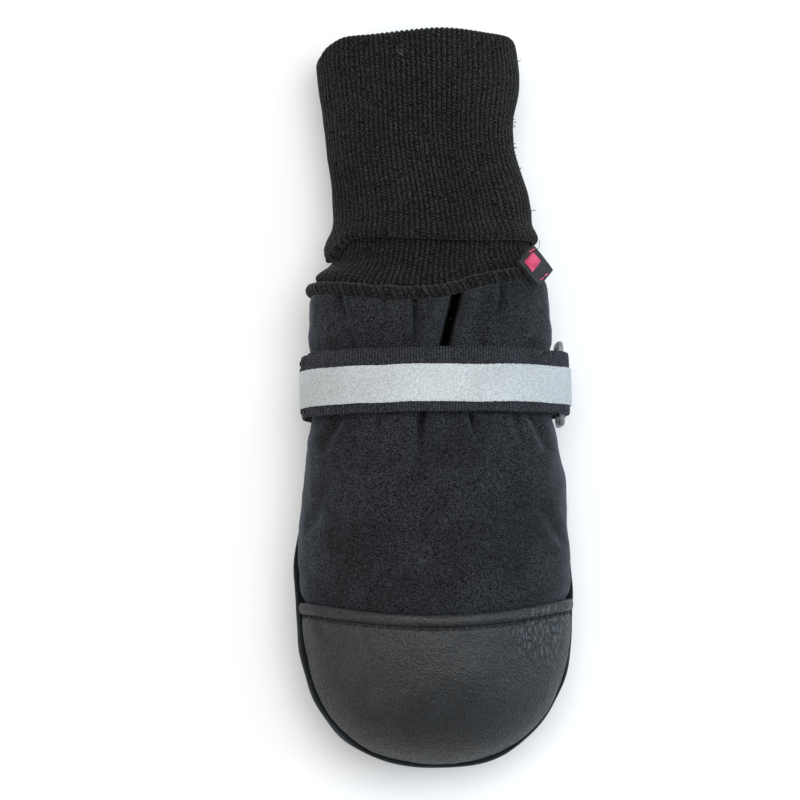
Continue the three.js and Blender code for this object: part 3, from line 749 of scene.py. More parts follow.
def nap_of(tree, here, scale, clumps):
    return use(tree, NAP, Vector=here, Scale=scale, Clumps=clumps)[0]


def dusted(tree, base, colour, mask, strength):
    """A second colour over the base wherever the mask lies, as strong as given."""
    return blend(tree, maths(tree, "MULTIPLY", mask, strength), base, (*colour, 1))


# %% [markdown]
# ## Napped body fabric
# The body is a matte black cloth with a short brushed face, which scatters a faint blue light at
# grazing angles and holds specks of lint. Sheen on the shader gives that scatter, nap gives the
# surface, and two sizes of flecks give the lint.


# %% Body fabric and suede
BODY_SHEEN = 0.22
BODY_SPECULAR = 0.16


def body_fabric():
    material, tree, shader, here, cloth = start_finish(
        "body fabric", roughness=0.94, specular=BODY_SPECULAR, sheen=BODY_SHEEN, sheen_roughness=0.45,
        sheen_tint=(0.72, 0.84, 1, 1))
    tone = tone_of(tree, here, 60.0, (0.0105, 0.0108, 0.0118), (0.0175, 0.0182, 0.0203))
    grain = grain_of(tree, here, 2400.0, low=0.0, high=2.2)
    specks = flecks_of(tree, here, 1500.0, amount=0.3, size=0.5)
    lint = flecks_of(tree, here, 420.0, amount=0.02, size=0.16)
    speckled = dusted(tree, times(tree, tone, grain), (0.075, 0.075, 0.085), specks, 0.45)
    dusty = dusted(tree, speckled, (0.16, 0.16, 0.18), lint, 0.7)
    # The cloth's first coordinate holds the depth of the creases: painted shade darkens a fold, and a
    # painted highlight lightens its lip.
    hollow = add(tree, "ShaderNodeSeparateXYZ", {"Vector": cloth}).outputs[0]
    deep = between(tree, hollow, 0.3, 2.7)
    shaded = blend(tree, deep, dusty, (0.001, 0.001, 0.0012, 1))
    lip = between(tree, hollow, -0.12, -0.9, 0.0, 0.3)
    lips_lit = dusted(tree, shaded, (0.034, 0.038, 0.047), lip, grain)
    tree.links.new(lips_lit, shader.inputs["Base Color"])
    for label, outside in (("Sheen Weight", BODY_SHEEN), ("Specular IOR Level", BODY_SPECULAR)):
        tree.links.new(maths(tree, "MULTIPLY_ADD", deep, -outside, outside), shader.inputs[label])
    relief(tree, shader, nap_of(tree, here, 1300.0, 0.5), 0.0004, 0.8)
    return material


def suede():
    material, tree, shader, here, _ = start_finish(
        "suede", roughness=0.96, specular=0.12, sheen=0.12, sheen_roughness=0.5,
        sheen_tint=(0.8, 0.92, 1, 1))
    tone = tone_of(tree, here, 90.0, (0.004, 0.0048, 0.0055), (0.01, 0.012, 0.0135))
    lint = flecks_of(tree, here, 700.0, amount=0.08, size=0.3)
    tree.links.new(dusted(tree, tone, (0.08, 0.085, 0.09), lint, 0.5), shader.inputs["Base Color"])
    relief(tree, shader, nap_of(tree, here, 1700.0, 0.9), 0.0005, 0.8)
    return material


BODY_FABRIC = body_fabric()
SUEDE = suede()

# %% [markdown]
# ## Grain leather
# The toe cap is leather with a pressed grain: small round pebbles with fine valleys between them. It
# is satin, so the lamp on the right draws a broad cool light over it, and a few painted glints sit on
# the pebbles. A small Voronoi texture gives the pebbles. A large one, stretched and turned, gives the
# net of worked wrinkles on the right, where the foot bends: painted shade in their lines and a painted
# highlight on their crowns, with a ragged edge where they die out. They are too fine for the mesh, so
# they stay in the finish.


# %% Leather
WORKED_PLACE = (30.0, 39.0, 0.0)
WORKED_REACH = 9.0
NET_TURN = 0.75
NET_SCALE = (0.95, 0.3, 1)


def worked_net(tree, cloth):
    """Where the wrinkled leather is, and how far each point of it lies from the net's lines."""
    turned = add(tree, "ShaderNodeMapping", {"Vector": cloth, "Rotation": (0, 0, NET_TURN),
                                            "Scale": NET_SCALE})
    cells = add(tree, "ShaderNodeTexVoronoi", {"Vector": turned.outputs[0], "Scale": 1.0},
                feature="DISTANCE_TO_EDGE")
    away = add(tree, "ShaderNodeVectorMath", {0: cloth, 1: WORKED_PLACE}, operation="DISTANCE")
    patchy = add(tree, "ShaderNodeTexNoise", {"Vector": cloth, "Scale": 0.35, "Detail": 1.0})
    reach = maths(tree, "MULTIPLY_ADD", patchy.outputs[0], -WORKED_REACH, away.outputs["Value"])
    return between(tree, reach, WORKED_REACH, -1.0), cells.outputs[0]


def grain_leather():
    material, tree, shader, here, cloth = start_finish("grain leather", roughness=0.5, specular=0.42)
    tone = tone_of(tree, here, 70.0, (0.0108, 0.0119, 0.0132), (0.0172, 0.0187, 0.0202))
    grain = grain_of(tree, here, 1700.0, low=0.6, high=1.4)
    glints = flecks_of(tree, here, 1250.0, amount=0.22, size=0.34)
    colour = dusted(tree, times(tree, tone, grain), (0.14, 0.16, 0.17), glints, 0.4)
    worked, from_line = worked_net(tree, cloth)
    # Painted highlight on the wrinkles' crowns, and painted shade in the lines between them.
    crown = maths(tree, "MULTIPLY", between(tree, from_line, 0.06, 0.32), worked)
    crowns_lit = dusted(tree, colour, (0.12, 0.145, 0.16), maths(tree, "MULTIPLY", crown, grain), 0.3)
    valley = maths(tree, "MULTIPLY", between(tree, from_line, 0.1, 0.02), worked)
    tree.links.new(dusted(tree, crowns_lit, (0.003, 0.0035, 0.004), valley, 0.75), shader.inputs["Base Color"])
    pebbles = add(tree, "ShaderNodeTexVoronoi", {"Vector": here, "Scale": 1600.0}, feature="SMOOTH_F1")
    broad = add(tree, "ShaderNodeTexNoise", {"Vector": here, "Scale": 480.0, "Detail": 3.0})
    grained = maths(tree, "SUBTRACT", maths(tree, "MULTIPLY", broad.outputs[0], 0.35),
                    pebbles.outputs["Distance"])
    shine = between(tree, pebbles.outputs["Distance"], 0.1, 0.8, 0.36, 0.6)
    tree.links.new(shine, shader.inputs["Roughness"])
    relief(tree, shader, maths(tree, "MULTIPLY_ADD", valley, -1.2, grained), 0.0003, 0.7)
    return material


GRAIN_LEATHER = grain_leather()

# %% [markdown]
# ## Rib knit
# The ribs themselves are modelled in the mesh. The finish adds what is smaller: the V of every knit
# stitch, with a painted highlight on its loops and painted shade in the valleys between the ribs, the
# fuzz of the yarn, and lint. The cloth coordinates run across the ribs and along them.


# %% Knit and fleece
RIB_PITCH = 1.55


def rib_knit():
    material, tree, shader, here, cloth = start_finish(
        "rib knit", roughness=0.96, specular=0.12, sheen=0.14, sheen_roughness=0.4,
        sheen_tint=(1, 0.97, 0.93, 1))
    tone = tone_of(tree, here, 55.0, (0.0075, 0.0072, 0.007), (0.0128, 0.0123, 0.0119))
    grain = grain_of(tree, here, 2200.0, low=0.0, high=2.2)
    stitch = use(tree, YARN, Cloth=cloth, Across=RIB_PITCH, Along=1.0, Slant=0.9, Shift=0.618)
    looped = maths(tree, "MULTIPLY", stitch["Height"], grain)
    # Painted highlight on the stitch loops, and painted shade in the valleys between the ribs.
    lit = dusted(tree, times(tree, tone, grain), (0.045, 0.0435, 0.042), looped, 0.3)
    valley = maths(tree, "MULTIPLY_ADD", stitch["Crest"], 0.75, 0.25)
    ribbed = blend(tree, valley, (0.0015, 0.0015, 0.0015, 1), lit)
    specks = flecks_of(tree, here, 1300.0, amount=0.16, size=0.42)
    tree.links.new(dusted(tree, ribbed, (0.12, 0.12, 0.115), specks, 0.45), shader.inputs["Base Color"])
    height = maths(tree, "MULTIPLY_ADD", nap_of(tree, here, 1800.0, 0.3), 1.4, stitch["Height"])
    relief(tree, shader, height, 0.00011, 0.8)
    return material


def fleece():
    material, tree, shader, here, _ = start_finish(
        "fleece", roughness=1.0, specular=0.1, sheen=0.6, sheen_roughness=0.5)
    tone = tone_of(tree, here, 160.0, (0.02, 0.02, 0.022), (0.05, 0.05, 0.055))
    tree.links.new(tone, shader.inputs["Base Color"])
    relief(tree, shader, nap_of(tree, here, 700.0, 1.2), 0.0012, 0.9)
    return material


KNIT = rib_knit()
FLEECE = fleece()

# %% [markdown]
# ## Webbing, tape, ribbon, thread and plastic
# Webbing is a tight ribbed weave with a low sheen. The reflective tape is a film of tiny glass beads:
# it is grey and a little metallic, and its sparkle is painted as bright flecks. The ring is moulded
# plastic, half clear.


# %% Webbing and tape
RIB_OF_WEBBING = 0.88


def webbing():
    material, tree, shader, here, cloth = start_finish(
        "webbing", roughness=0.66, specular=0.3, sheen=0.2, sheen_roughness=0.35,
        sheen_tint=(0.8, 0.88, 1, 1))
    tone = tone_of(tree, here, 80.0, (0.006, 0.0062, 0.008), (0.012, 0.0124, 0.0155))
    grain = grain_of(tree, here, 1700.0, low=0.2, high=1.9)
    yarns = use(tree, YARN, Cloth=cloth, Across=RIB_OF_WEBBING, Along=0.62, Slant=0.6, Shift=0.5)
    looped = maths(tree, "MULTIPLY", yarns["Height"], grain)
    # Painted highlight on the yarn loops, and painted shade between the ribs.
    lit = dusted(tree, times(tree, tone, grain), (0.062, 0.066, 0.085), looped, 0.6)
    crest = maths(tree, "MULTIPLY_ADD", yarns["Crest"], 0.8, 0.2)
    ribbed = blend(tree, crest, (0.002, 0.002, 0.003, 1), lit)
    lint = flecks_of(tree, here, 650.0, amount=0.07, size=0.28)
    tree.links.new(dusted(tree, ribbed, (0.13, 0.13, 0.14), lint, 0.6), shader.inputs["Base Color"])
    relief(tree, shader, yarns["Height"], 0.0002, 0.7)
    return material


def reflective():
    material, tree, shader, here, _ = start_finish("reflective tape", roughness=0.55, specular=0.4)
    shader.inputs["Metallic"].default_value = 0.15
    tone = tone_of(tree, here, 35.0, (0.42, 0.44, 0.445), (0.49, 0.52, 0.53))
    grain = grain_of(tree, here, 2000.0, low=0.85, high=1.15)
    bead_sparkle = flecks_of(tree, here, 2200.0, amount=0.35, size=0.45)
    dust = flecks_of(tree, here, 1400.0, amount=0.2, size=0.4)
    # The bright flecks are painted sparkle of the glass beads.
    bright = dusted(tree, times(tree, tone, grain), (0.75, 0.77, 0.8), bead_sparkle, 0.6)
    tree.links.new(dusted(tree, bright, (0.13, 0.13, 0.14), dust, 0.45), shader.inputs["Base Color"])
    relief(tree, shader, nap_of(tree, here, 2100.0, 0.3), 0.00012, 0.6)
    return material


WEBBING = webbing()
REFLECTIVE = reflective()


# %% Ribbon, thread and plastic
def thread(name, dark, light, sheen=0.15):
    """Twisted thread: fine diagonal plies and a small change of tone."""
    material, tree, shader, here, _ = start_finish(
        name, roughness=0.7, specular=0.35, sheen=sheen, sheen_roughness=0.3)
    tree.links.new(tone_of(tree, here, 500.0, dark, light), shader.inputs["Base Color"])
    plies = add(tree, "ShaderNodeTexWave", {"Vector": here, "Scale": 900.0, "Distortion": 1.0},
                bands_direction="DIAGONAL")
    relief(tree, shader, plies.outputs["Fac"], 0.00008, 0.6)
    return material


def ribbon():
    material, tree, shader, here, cloth = start_finish(
        "ribbon", roughness=0.55, specular=0.4, sheen=0.15, sheen_roughness=0.3)
    yarns = use(tree, YARN, Cloth=cloth, Across=0.34, Along=0.4, Slant=0.3)[0]
    tone = tone_of(tree, here, 300.0, (0.007, 0.007, 0.009), (0.015, 0.015, 0.018))
    # Painted highlight on the yarn crests.
    tree.links.new(dusted(tree, tone, (0.035, 0.035, 0.04), yarns, 0.4), shader.inputs["Base Color"])
    relief(tree, shader, yarns, 0.0001, 0.6)
    return material


def ring_plastic():
    material, tree, shader, here, _ = start_finish("ring plastic", roughness=0.28, specular=0.5)
    shader.inputs["Transmission Weight"].default_value = 0.35
    shader.inputs["IOR"].default_value = 1.5
    tone = tone_of(tree, here, 120.0, (0.2, 0.21, 0.22), (0.32, 0.33, 0.34))
    tree.links.new(tone, shader.inputs["Base Color"])
    scuffs = add(tree, "ShaderNodeTexNoise", {"Vector": here, "Scale": 900.0, "Detail": 3.0})
    tree.links.new(between(tree, scuffs.outputs[0], 0.3, 0.7, 0.22, 0.42), shader.inputs["Roughness"])
    relief(tree, shader, scuffs.outputs[0], 0.00006, 0.4)
    return material


BLACK_THREAD = thread("black thread", (0.008, 0.008, 0.01), (0.022, 0.022, 0.026))
PINK_THREAD = thread("pink thread", (0.55, 0.05, 0.13), (0.75, 0.11, 0.21), sheen=0.3)
GREY_THREAD = thread("grey thread", (0.02, 0.021, 0.024), (0.06, 0.062, 0.068), sheen=0.2)
PALE_THREAD = thread("pale thread", (0.13, 0.12, 0.11), (0.3, 0.29, 0.27), sheen=0.3)
RIBBON = ribbon()
RING_PLASTIC = ring_plastic()
print("finishes:", len(bpy.data.materials))

# %% [markdown]
# ## Floor
# A pale seamless floor stops at nothing, so it is only a large flat sheet with a faint mottle.


# %% Floor
FLOOR_HALF = 4
FLOOR_DROP = 0.0002
FLOOR_GLOW = 0.16


def make_floor():
    corners = [(FLOOR_HALF * x, FLOOR_HALF * y, 0) for x, y in ((-1, -1), (1, -1), (1, 1), (-1, 1))]
    mesh = bpy.data.meshes.new("floor")
    mesh.from_pydata(corners, [], [(0, 1, 2, 3)])
    floor = bpy.data.objects.new("floor", mesh)
    floor.location.z = -FLOOR_DROP
    bpy.context.scene.collection.objects.link(floor)
    material, tree, shader, here, _ = start_finish("floor", roughness=0.85, specular=0.2)
    tone = tone_of(tree, here, 6.0, (0.86, 0.86, 0.86), (0.88, 0.88, 0.88))
    tree.links.new(tone, shader.inputs["Base Color"])
    shader.inputs["Emission Color"].default_value = (1, 1, 1, 1)
    shader.inputs["Emission Strength"].default_value = FLOOR_GLOW
    mesh.materials.append(material)


make_floor()

# %% [markdown]
# ## Suede sole
# The sole is one teardrop of suede, flat below and curled up all round to meet the body. A moulded
# sole could be lofted from outlines, but this one is cloth on a last, so it is the last's own surface
# from seam to seam. Its edge is turned in, which makes a soft roll just below the seam.

# %% Sole
SOLE_END = station_at(SOLE_LENGTH)
SUEDE_WALL = 2
HEEL_TURN = float(seam_angle(SOLE_END))
EDGE_ROLL = 0.75


def make_sole():
    t = np.linspace(0, station_at(SOLE_LENGTH - GAP), 126)[:, None]
    side = np.linspace(-1, 1, 171)
    spread = 0.5 + 0.5 * np.sign(side) * np.abs(side) ** 0.8
    edge = seam_angle(t) - 0.6 * np.clip(2 * t, 0, 1)
    turn = 180 - edge + spread[None, :] * (180 + 2 * edge)
    t = np.broadcast_to(t, turn.shape)
    skin = on_last(t, turn)
    _, angle = hand_and_angle(turn)
    below = np.abs(on_last(t, np.broadcast_to(edge, turn.shape))[..., 2] - skin[..., 2])
    up = smooth(angle, -42, -20)
    rolled = EDGE_ROLL * (1 - 0.7 * smooth(skin[..., 0], 12, 30))
    roll = rolled * hill(below, 1.3, 1.5) * up
    soft = 0.3 * lumps(skin, 17, 3) * up
    outer = last_point(t, turn, roll + soft)
    inner = last_point(t, turn, -SUEDE_WALL)
    outer[..., 2] = np.maximum(outer[..., 2], 0)
    faces = grid_faces(*t.shape)
    sole = closed_wall("suede_sole", outer, inner, faces)
    settle(sole, SUEDE, "suede", "sole")


make_sole()

# %% [markdown]
# ## Fleece insole
# A thin pad lies on the flat of the sole. It is soft, so it has a crown and small hollows. Nobody sees
# more of it than a strip through the cuff.

# %% Insole
INSOLE_WALL = 2
INSOLE_INSET = 5


def make_insole():
    end = station_at(SOLE_LENGTH - INSOLE_INSET)
    t = np.linspace(0, end, 80)[:, None]
    share = np.linspace(0, 1, 91)[None, :]
    rim = np.minimum(-46, seam_angle(t) - 8)
    turn = 180 - rim + share * (180 + 2 * rim)
    t = np.broadcast_to(t, turn.shape)
    edge = np.minimum(share, 1 - share) * 2
    run = np.minimum(smooth(edge, 0, 0.16), 1 - smooth(t, end - 0.06, end))
    under = on_last(t, turn)
    top = under.copy()
    under[..., 2] = SUEDE_WALL + GAP
    top[..., 2] = SUEDE_WALL + GAP + INSOLE_WALL * (0.45 + 0.55 * run) + 0.12 * lumps(top, 9, 8) * run
    faces = grid_faces(*t.shape)
    insole = closed_wall("fleece_insole", top, under, faces)
    settle(insole, FLEECE, "fleece", "insole")


make_insole()

# %% [markdown]
# ## Fabric body
# The body is one tube of napped fabric, open below for the sole. It is held flat under the strap and
# puffs out beside it, it is pulled in at every seam, and it creases where the wrist bends. Cloth
# simulation would give some folds, but the main ones have known places, so they are listed one by one:
# each is a short line on the front with a depth and a width, pressed into the surface as a soft trough
# with a raised lip beside it.

# %% Creases of the body
FABRIC_WALL = 2.6
# From x and distance, to x and distance, depth at each end, width: all in mm. Distances are from the
# toe tip.
CREASES = [
    (8.2, 146.5, 2.8, 126.5, 3.5, 3.3, 2.1),
    (-5.8, 143.0, -6.2, 127.0, 1.9, 1.2, 1.1),
    (-28.6, 143.0, -26.6, 135.0, 1.5, 0.8, 1.0),
    (-15.3, 143.5, -15.0, 135.0, 1.4, 0.6, 0.9),
    (-25.2, 131.5, -24.4, 126.0, 0.9, 1.5, 1.2),
    (21.0, 144.0, 19.0, 134.0, 1.2, 0.4, 1.0),
    (13.5, 131.0, 14.0, 126.0, 0.4, 1.2, 1.2),
    (-4.2, 106.5, -7.0, 86.0, 2.1, 0.2, 1.9),
    (10.4, 105.5, 11.2, 99.5, 2.0, 0.8, 1.1),
    (-17.0, 105.5, -18.5, 98.0, 1.3, 0.4, 1.3),
    (24.0, 105.5, 25.2, 98.0, 1.2, 0.4, 1.2),
    (29.0, 105.0, 33.5, 96.0, 1.1, 0.6, 1.5),
    (-29.0, 105.0, -33.0, 98.0, 1.1, 0.6, 1.4),
    (31.0, 78.0, 38.0, 68.0, 0.3, 0.9, 1.8),
    (-33.0, 86.0, -38.0, 74.0, 0.3, 0.8, 2.0),
]


def crease_depth(x, distance, line):
    """Depth of one crease, and of its lip, at points seen from above."""
    x0, s0, x1, s1, deep0, deep1, width = line
    run, rise = x1 - x0, s1 - s0
    share = np.clip(((x - x0) * run + (distance - s0) * rise) / (run**2 + rise**2), 0, 1)
    across = np.hypot(x - x0 - share * run, distance - s0 - share * rise)
    deep = mix(deep0, deep1, share)
    lip = 0.3 * hill(across, 2.1 * width, 1.1 * width)
    return deep * (lip - hill(across, 0, width))


def body_relief(skin, cap_gap, collar_gap):
    """How far the fabric stands out of the last, and how deep its creases are: all in mm."""
    x, z = skin[..., 0], skin[..., 2]
    distance = skin[..., 1] + TOE_LENGTH
    from_strap = np.abs(distance - STRAP_AT) - WEBBING_WIDTH / 2
    free = smooth(from_strap, 0.2, 3.2)
    beside = hill(from_strap, 4.6, 3.4)
    out = 0.9 * beside * (0.65 + 0.5 * lumps(skin, 16, 11))
    out = out + 0.34 * lumps(skin, 26, 12) + 0.16 * lumps(skin, 8, 13)
    out = out * free - 0.35 * (1 - smooth(from_strap, -1.2, 0.4))
    out = out - 0.9 * hill(cap_gap, 0, 1.6) + 0.4 * hill(cap_gap, 4.5, 3)
    out = out - 0.8 * hill(collar_gap, 0, 1.8)
    out = out + 1.4 * smooth(x, 25, 35) * hill(distance, 86, 9)
    creased = sum(crease_depth(x, distance, line) for line in CREASES) * smooth(z, 20, 27)
    out = out + creased * (0.25 + 0.75 * free)
    return np.where(from_strap < 0.6, np.minimum(out, 0), out), -creased


# %% Body
TOE_ROWS = 10
CAP_TO_HEEL_ROWS = 92
HEEL_TO_COLLAR_ROWS = 62
UNDER_CAP = 1.7


def body_patch(turn_at, rows_t, tucked):
    """Outer and inner points of a patch, and its cloth coordinates. turn_at gives the turns of a row."""
    turn = turn_at(rows_t)
    skin = on_last(rows_t, turn)
    cap_gap = np.maximum(skin[..., 1] + TOE_LENGTH - cap_line(skin[..., 0]), 0)
    collar_gap = np.maximum(collar_line(skin[..., 0]) - COLLAR_ROLL / 2 - skin[..., 1] - TOE_LENGTH, 0)
    _, angle = hand_and_angle(turn)
    seam_gap = (angle - seam_angle(rows_t)) * 0.55
    proud, hollow = body_relief(skin, cap_gap, collar_gap)
    proud = proud - 0.6 * hill(np.maximum(seam_gap, 0), 0, 2.2) * (rows_t < SOLE_END + 0.01)
    proud = np.where(tucked, -UNDER_CAP, proud)
    outer = last_point(rows_t, turn, proud)
    inner = last_point(rows_t, turn, proud - FABRIC_WALL)
    outer[..., 2] += GAP
    inner[..., 2] += GAP
    return outer, inner, np.stack([hollow, skin[..., 1]], -1)


def make_body():
    share = np.linspace(0, 1, 231)[None, :]

    def over(t):
        low = seam_angle(t)
        return low + share * (180 - 2 * low)

    def under(t):
        return 180 - HEEL_TURN + np.linspace(0, 1, 71)[None, :] * (180 + 2 * HEEL_TURN) + 0 * t

    start = cap_edge(over(np.array([[1.0]])))
    end = collar_edge(over(np.array([[2.0]])), COLLAR_ROLL / 2 + GAP)
    toe = np.linspace(0, 1, TOE_ROWS)[:, None] * (start - 0.004)
    front = mix(start, SOLE_END, np.linspace(0, 1, CAP_TO_HEEL_ROWS)[:, None] ** 1.06)
    back = mix(SOLE_END, end, np.linspace(0, 1, HEEL_TO_COLLAR_ROWS)[1:, None])
    rows = np.concatenate([toe, front, back])
    tucked = np.zeros(rows.shape, bool)
    tucked[:TOE_ROWS] = True
    outer, inner, uv = body_patch(over, rows, tucked)
    faces = grid_faces(*rows.shape)

    low_end = collar_edge(under(np.array([[2.0]])), COLLAR_ROLL / 2 + GAP)
    low_rows = mix(SOLE_END, low_end, np.linspace(0, 1, HEEL_TO_COLLAR_ROWS)[:, None])
    low_outer, low_inner, low_uv = body_patch(under, low_rows, np.zeros(low_rows.shape, bool))
    low_faces = grid_faces(*low_rows.shape) + outer.shape[0] * outer.shape[1]

    outer = np.concatenate([outer.reshape(-1, 3), low_outer.reshape(-1, 3)])
    inner = np.concatenate([inner.reshape(-1, 3), low_inner.reshape(-1, 3)])
    uv = np.concatenate([uv.reshape(-1, 2), low_uv.reshape(-1, 2)])
    body = closed_wall("fabric_body", outer, inner, np.concatenate([faces, low_faces]), uv)
    settle(body, BODY_FABRIC, "body_fabric", "upper")


make_body()

# %% [markdown]
# ## Leather toe cap
# The cap is one piece of leather, stretched wet over the last's toe. Its back edge is folded under
# and stitched down, which leaves a round band with a groove in front of it. The rows of the mesh are
# close together at the band and wider over the toe. Only a few shallow wrinkles are in the mesh: the
# fine net on the right is in the leather's finish, which reads its place from the cloth coordinates.

# %% Toe cap
LEATHER_WALL = 1.3
BAND_HEIGHT = 0.95
GROOVE_AT = 4.1
GROOVE_DEPTH = 0.45
GROOVE_WIDTH = 0.55
# Rows of the mesh at the band, by their gap to the cap's edge in mm.
BAND_ROWS = [5.0, 4.7, 4.4, 4.1, 3.8, 3.55, 3.3, 3.0, 2.6, 2.2, 1.8, 1.4, 1.0, 0.65, 0.35, 0.12, 0]
# From x and distance, to x and distance, depth at each end, width: all in mm.
WRINKLES = [
    (22.5, 33.0, 29.0, 42.5, 0.1, 0.35, 0.9),
    (30.0, 31.5, 35.5, 43.5, 0.1, 0.35, 0.9),
    (-30.0, 30.0, -36.0, 43.0, 0.1, 0.4, 1.1),
    (-22.0, 34.0, -25.0, 41.5, 0.1, 0.3, 1.0),
    (-2.0, 36.0, 3.0, 40.5, 0.1, 0.3, 1.1),
]


def make_toe_cap():
    turn = SEAM_RISE + np.linspace(0, 1, 241)[None, :] * (180 - 2 * SEAM_RISE)
    band_rows = cap_edge(np.repeat(turn, len(BAND_ROWS), 0), np.array(BAND_ROWS)[:, None])
    toe = band_rows[:1] * np.linspace(0, 1, 118)[:-1, None]
    t = np.concatenate([toe, band_rows])
    turn = np.broadcast_to(turn, t.shape)
    skin = on_last(t, turn)
    x, distance = skin[..., 0], skin[..., 1] + TOE_LENGTH
    gap = np.clip(cap_line(x) - distance, 0, None)
    across = np.clip((gap - BAND_WIDTH / 2) / (BAND_WIDTH / 2 + 0.1), -1, 1)
    out = BAND_HEIGHT * np.sqrt(1 - across**2) * (1 + 0.12 * lumps(skin, 7, 21))
    out = out - GROOVE_DEPTH * hill(gap, GROOVE_AT, GROOVE_WIDTH)
    swell = smooth(gap, 5, 9)
    out = out + 0.22 * lumps(skin, 19, 22) * swell + 0.05 * lumps(skin, 5, 23) * swell
    out = out + sum(crease_depth(x, distance, line) for line in WRINKLES) * smooth(gap, 4.2, 5.5)
    out[:, :2] -= 0.3
    out[:, -2:] -= 0.3
    outer = last_point(t, turn, out)
    inner = last_point(t, turn, np.full(t.shape, -LEATHER_WALL))
    outer[..., 2] += GAP
    inner[..., 2] += GAP
    faces = grid_faces(*t.shape)
    uv = np.stack([x, distance], -1)
    cap = closed_wall("leather_toe_cap", outer, inner, faces, uv)
    settle(cap, GRAIN_LEATHER, "grain_leather", "toe_cap")


make_toe_cap()

# %% [markdown]
# ## Knit cuff
# The cuff is a tube of one-by-one rib, longer than it looks: its top half is turned down on the
# outside and hemmed, so there are two layers from the mouth to the rim. One closed mesh holds both
# layers. A profile of rows runs up the inside, over the fold, down the outside, round the rim and back
# between the layers. Six columns make each rib, and the columns are spread evenly by arc length, so
# all ribs are equally wide. A displacement texture could make ribs too, but they would slide over the
# fold, and real ribs turn with it.

# %% Sizes of the cuff
KNIT_WALL = 1.6
LAYER_GAP = 0.6
RIM_ROOM = LAYER_GAP + 0.4
CUFF_LENGTH = 82
CUFF_WIDTH = 56.8
CUFF_HEIGHT = 28
CUFF_NECK = 10
RIM_AT = 18.9
RIM_SLANT = -0.6
BEAD_INSIDE = COLLAR_ROLL * 0.8
RIBS = 94
RIB_SAMPLES = 6
RIB_HEIGHT = 0.5

# Along from the collar to the mouth, size of the slimmest section, drift to the right: as shares.
CUFF = [
    (-0.02, 1.17, 0.0),
    (0.04, 1.09, 0.0),
    (0.12, 1.04, 0.01),
    (0.22, 1.02, 0.024),
    (0.3, 0.965, 0.02),
    (0.62, 0.922, -0.03),
    (0.88, 0.99, -0.034),
    (1.0, 0.995, -0.036),
]
SIZE, DRIFT = 1, 2


# %% The cuff as a function
def free_ring(turn, distance, grow):
    """The flattened tube behind the collar, lying on the floor."""
    along = (distance - FOOT_LENGTH) / CUFF_LENGTH
    size = follow(along, CUFF, SIZE)
    height = CUFF_HEIGHT / 2 * size
    power = 2 / TOP_ROUNDNESS
    across, up = np.cos(np.radians(turn)), np.sin(np.radians(turn))
    x = CUFF_WIDTH * follow(along, CUFF, DRIFT)
    x = x + (CUFF_WIDTH / 2 * size + grow) * boxy(across, power)
    z = height + KNIT_WALL + RIM_ROOM + (height + grow) * boxy(up, power)
    return np.stack([x, distance - TOE_LENGTH, z], -1)


def cuff_point(turn, distance, grow):
    """Near the collar the tube keeps the form of the body's end; further back it is a free ring."""
    turn, distance, grow = np.broadcast_arrays(turn, distance, grow)
    line = collar_line(np.cos(np.radians(turn)) * COLLAR_WIDTH / 2)
    share = np.clip((distance - line) / CUFF_NECK, 0, 1)
    inset = np.maximum(line - distance, -CUFF_NECK)
    held = last_point(collar_edge(turn, inset), turn, grow - BEAD_INSIDE - GAP)
    held[..., 2] += GAP
    eased = smooth(share, 0, 1)[..., None]
    point = held * (1 - eased) + free_ring(turn, distance, grow) * eased
    point[..., 2] = np.maximum(point[..., 2], 0.02)
    return point


def even_turns(count, at):
    """Turns in degrees, evenly spread along the outline that at(turns) gives."""
    fine = np.linspace(0, 360, 3601)
    outline = at(fine)
    run = run_along(outline)
    return np.interp(np.arange(count) / count * run[-1], run, fine), run[-1]


def rib_at(column):
    """Height of the rib profile, 0 to 1: a round hill with a narrow valley."""
    return np.abs(np.cos(math.pi * column / RIB_SAMPLES)) ** 0.75


# %% Rows of the cuff
# Rim of the turned-down layer: distance from its line towards the mouth, and how far out, in mm.
RIM = [
    (6.0, 2.2),
    (4.4, 2.25),
    (3.0, 2.45),
    (1.8, 2.75),
    (0.8, 2.95),
    (-0.2, 3.05),
    (-0.9, 2.95),
    (-1.4, 2.65),
    (-1.75, 2.2),
    (-1.85, 1.7),
    (-1.7, 1.2),
    (-1.2, 0.8),
    (0.2, 0.6),
]


def mouth_line(side):
    """Line of the mouth from side to side: its top is a little to the right, its left corner is round."""
    top = np.where(side > 0.2, 1.2, 1.7) * (1 - hill(side, 0.2, 0.45))
    left = np.clip((-side - 0.7) / 0.3, 0, 1)
    right = np.clip((side - 0.92) / 0.08, 0, 1)
    corners = 6.2 * (1 - np.sqrt(1 - left**2)) + 2.4 * (1 - np.sqrt(1 - right**2))
    return FOOT_LENGTH + CUFF_LENGTH - top - corners


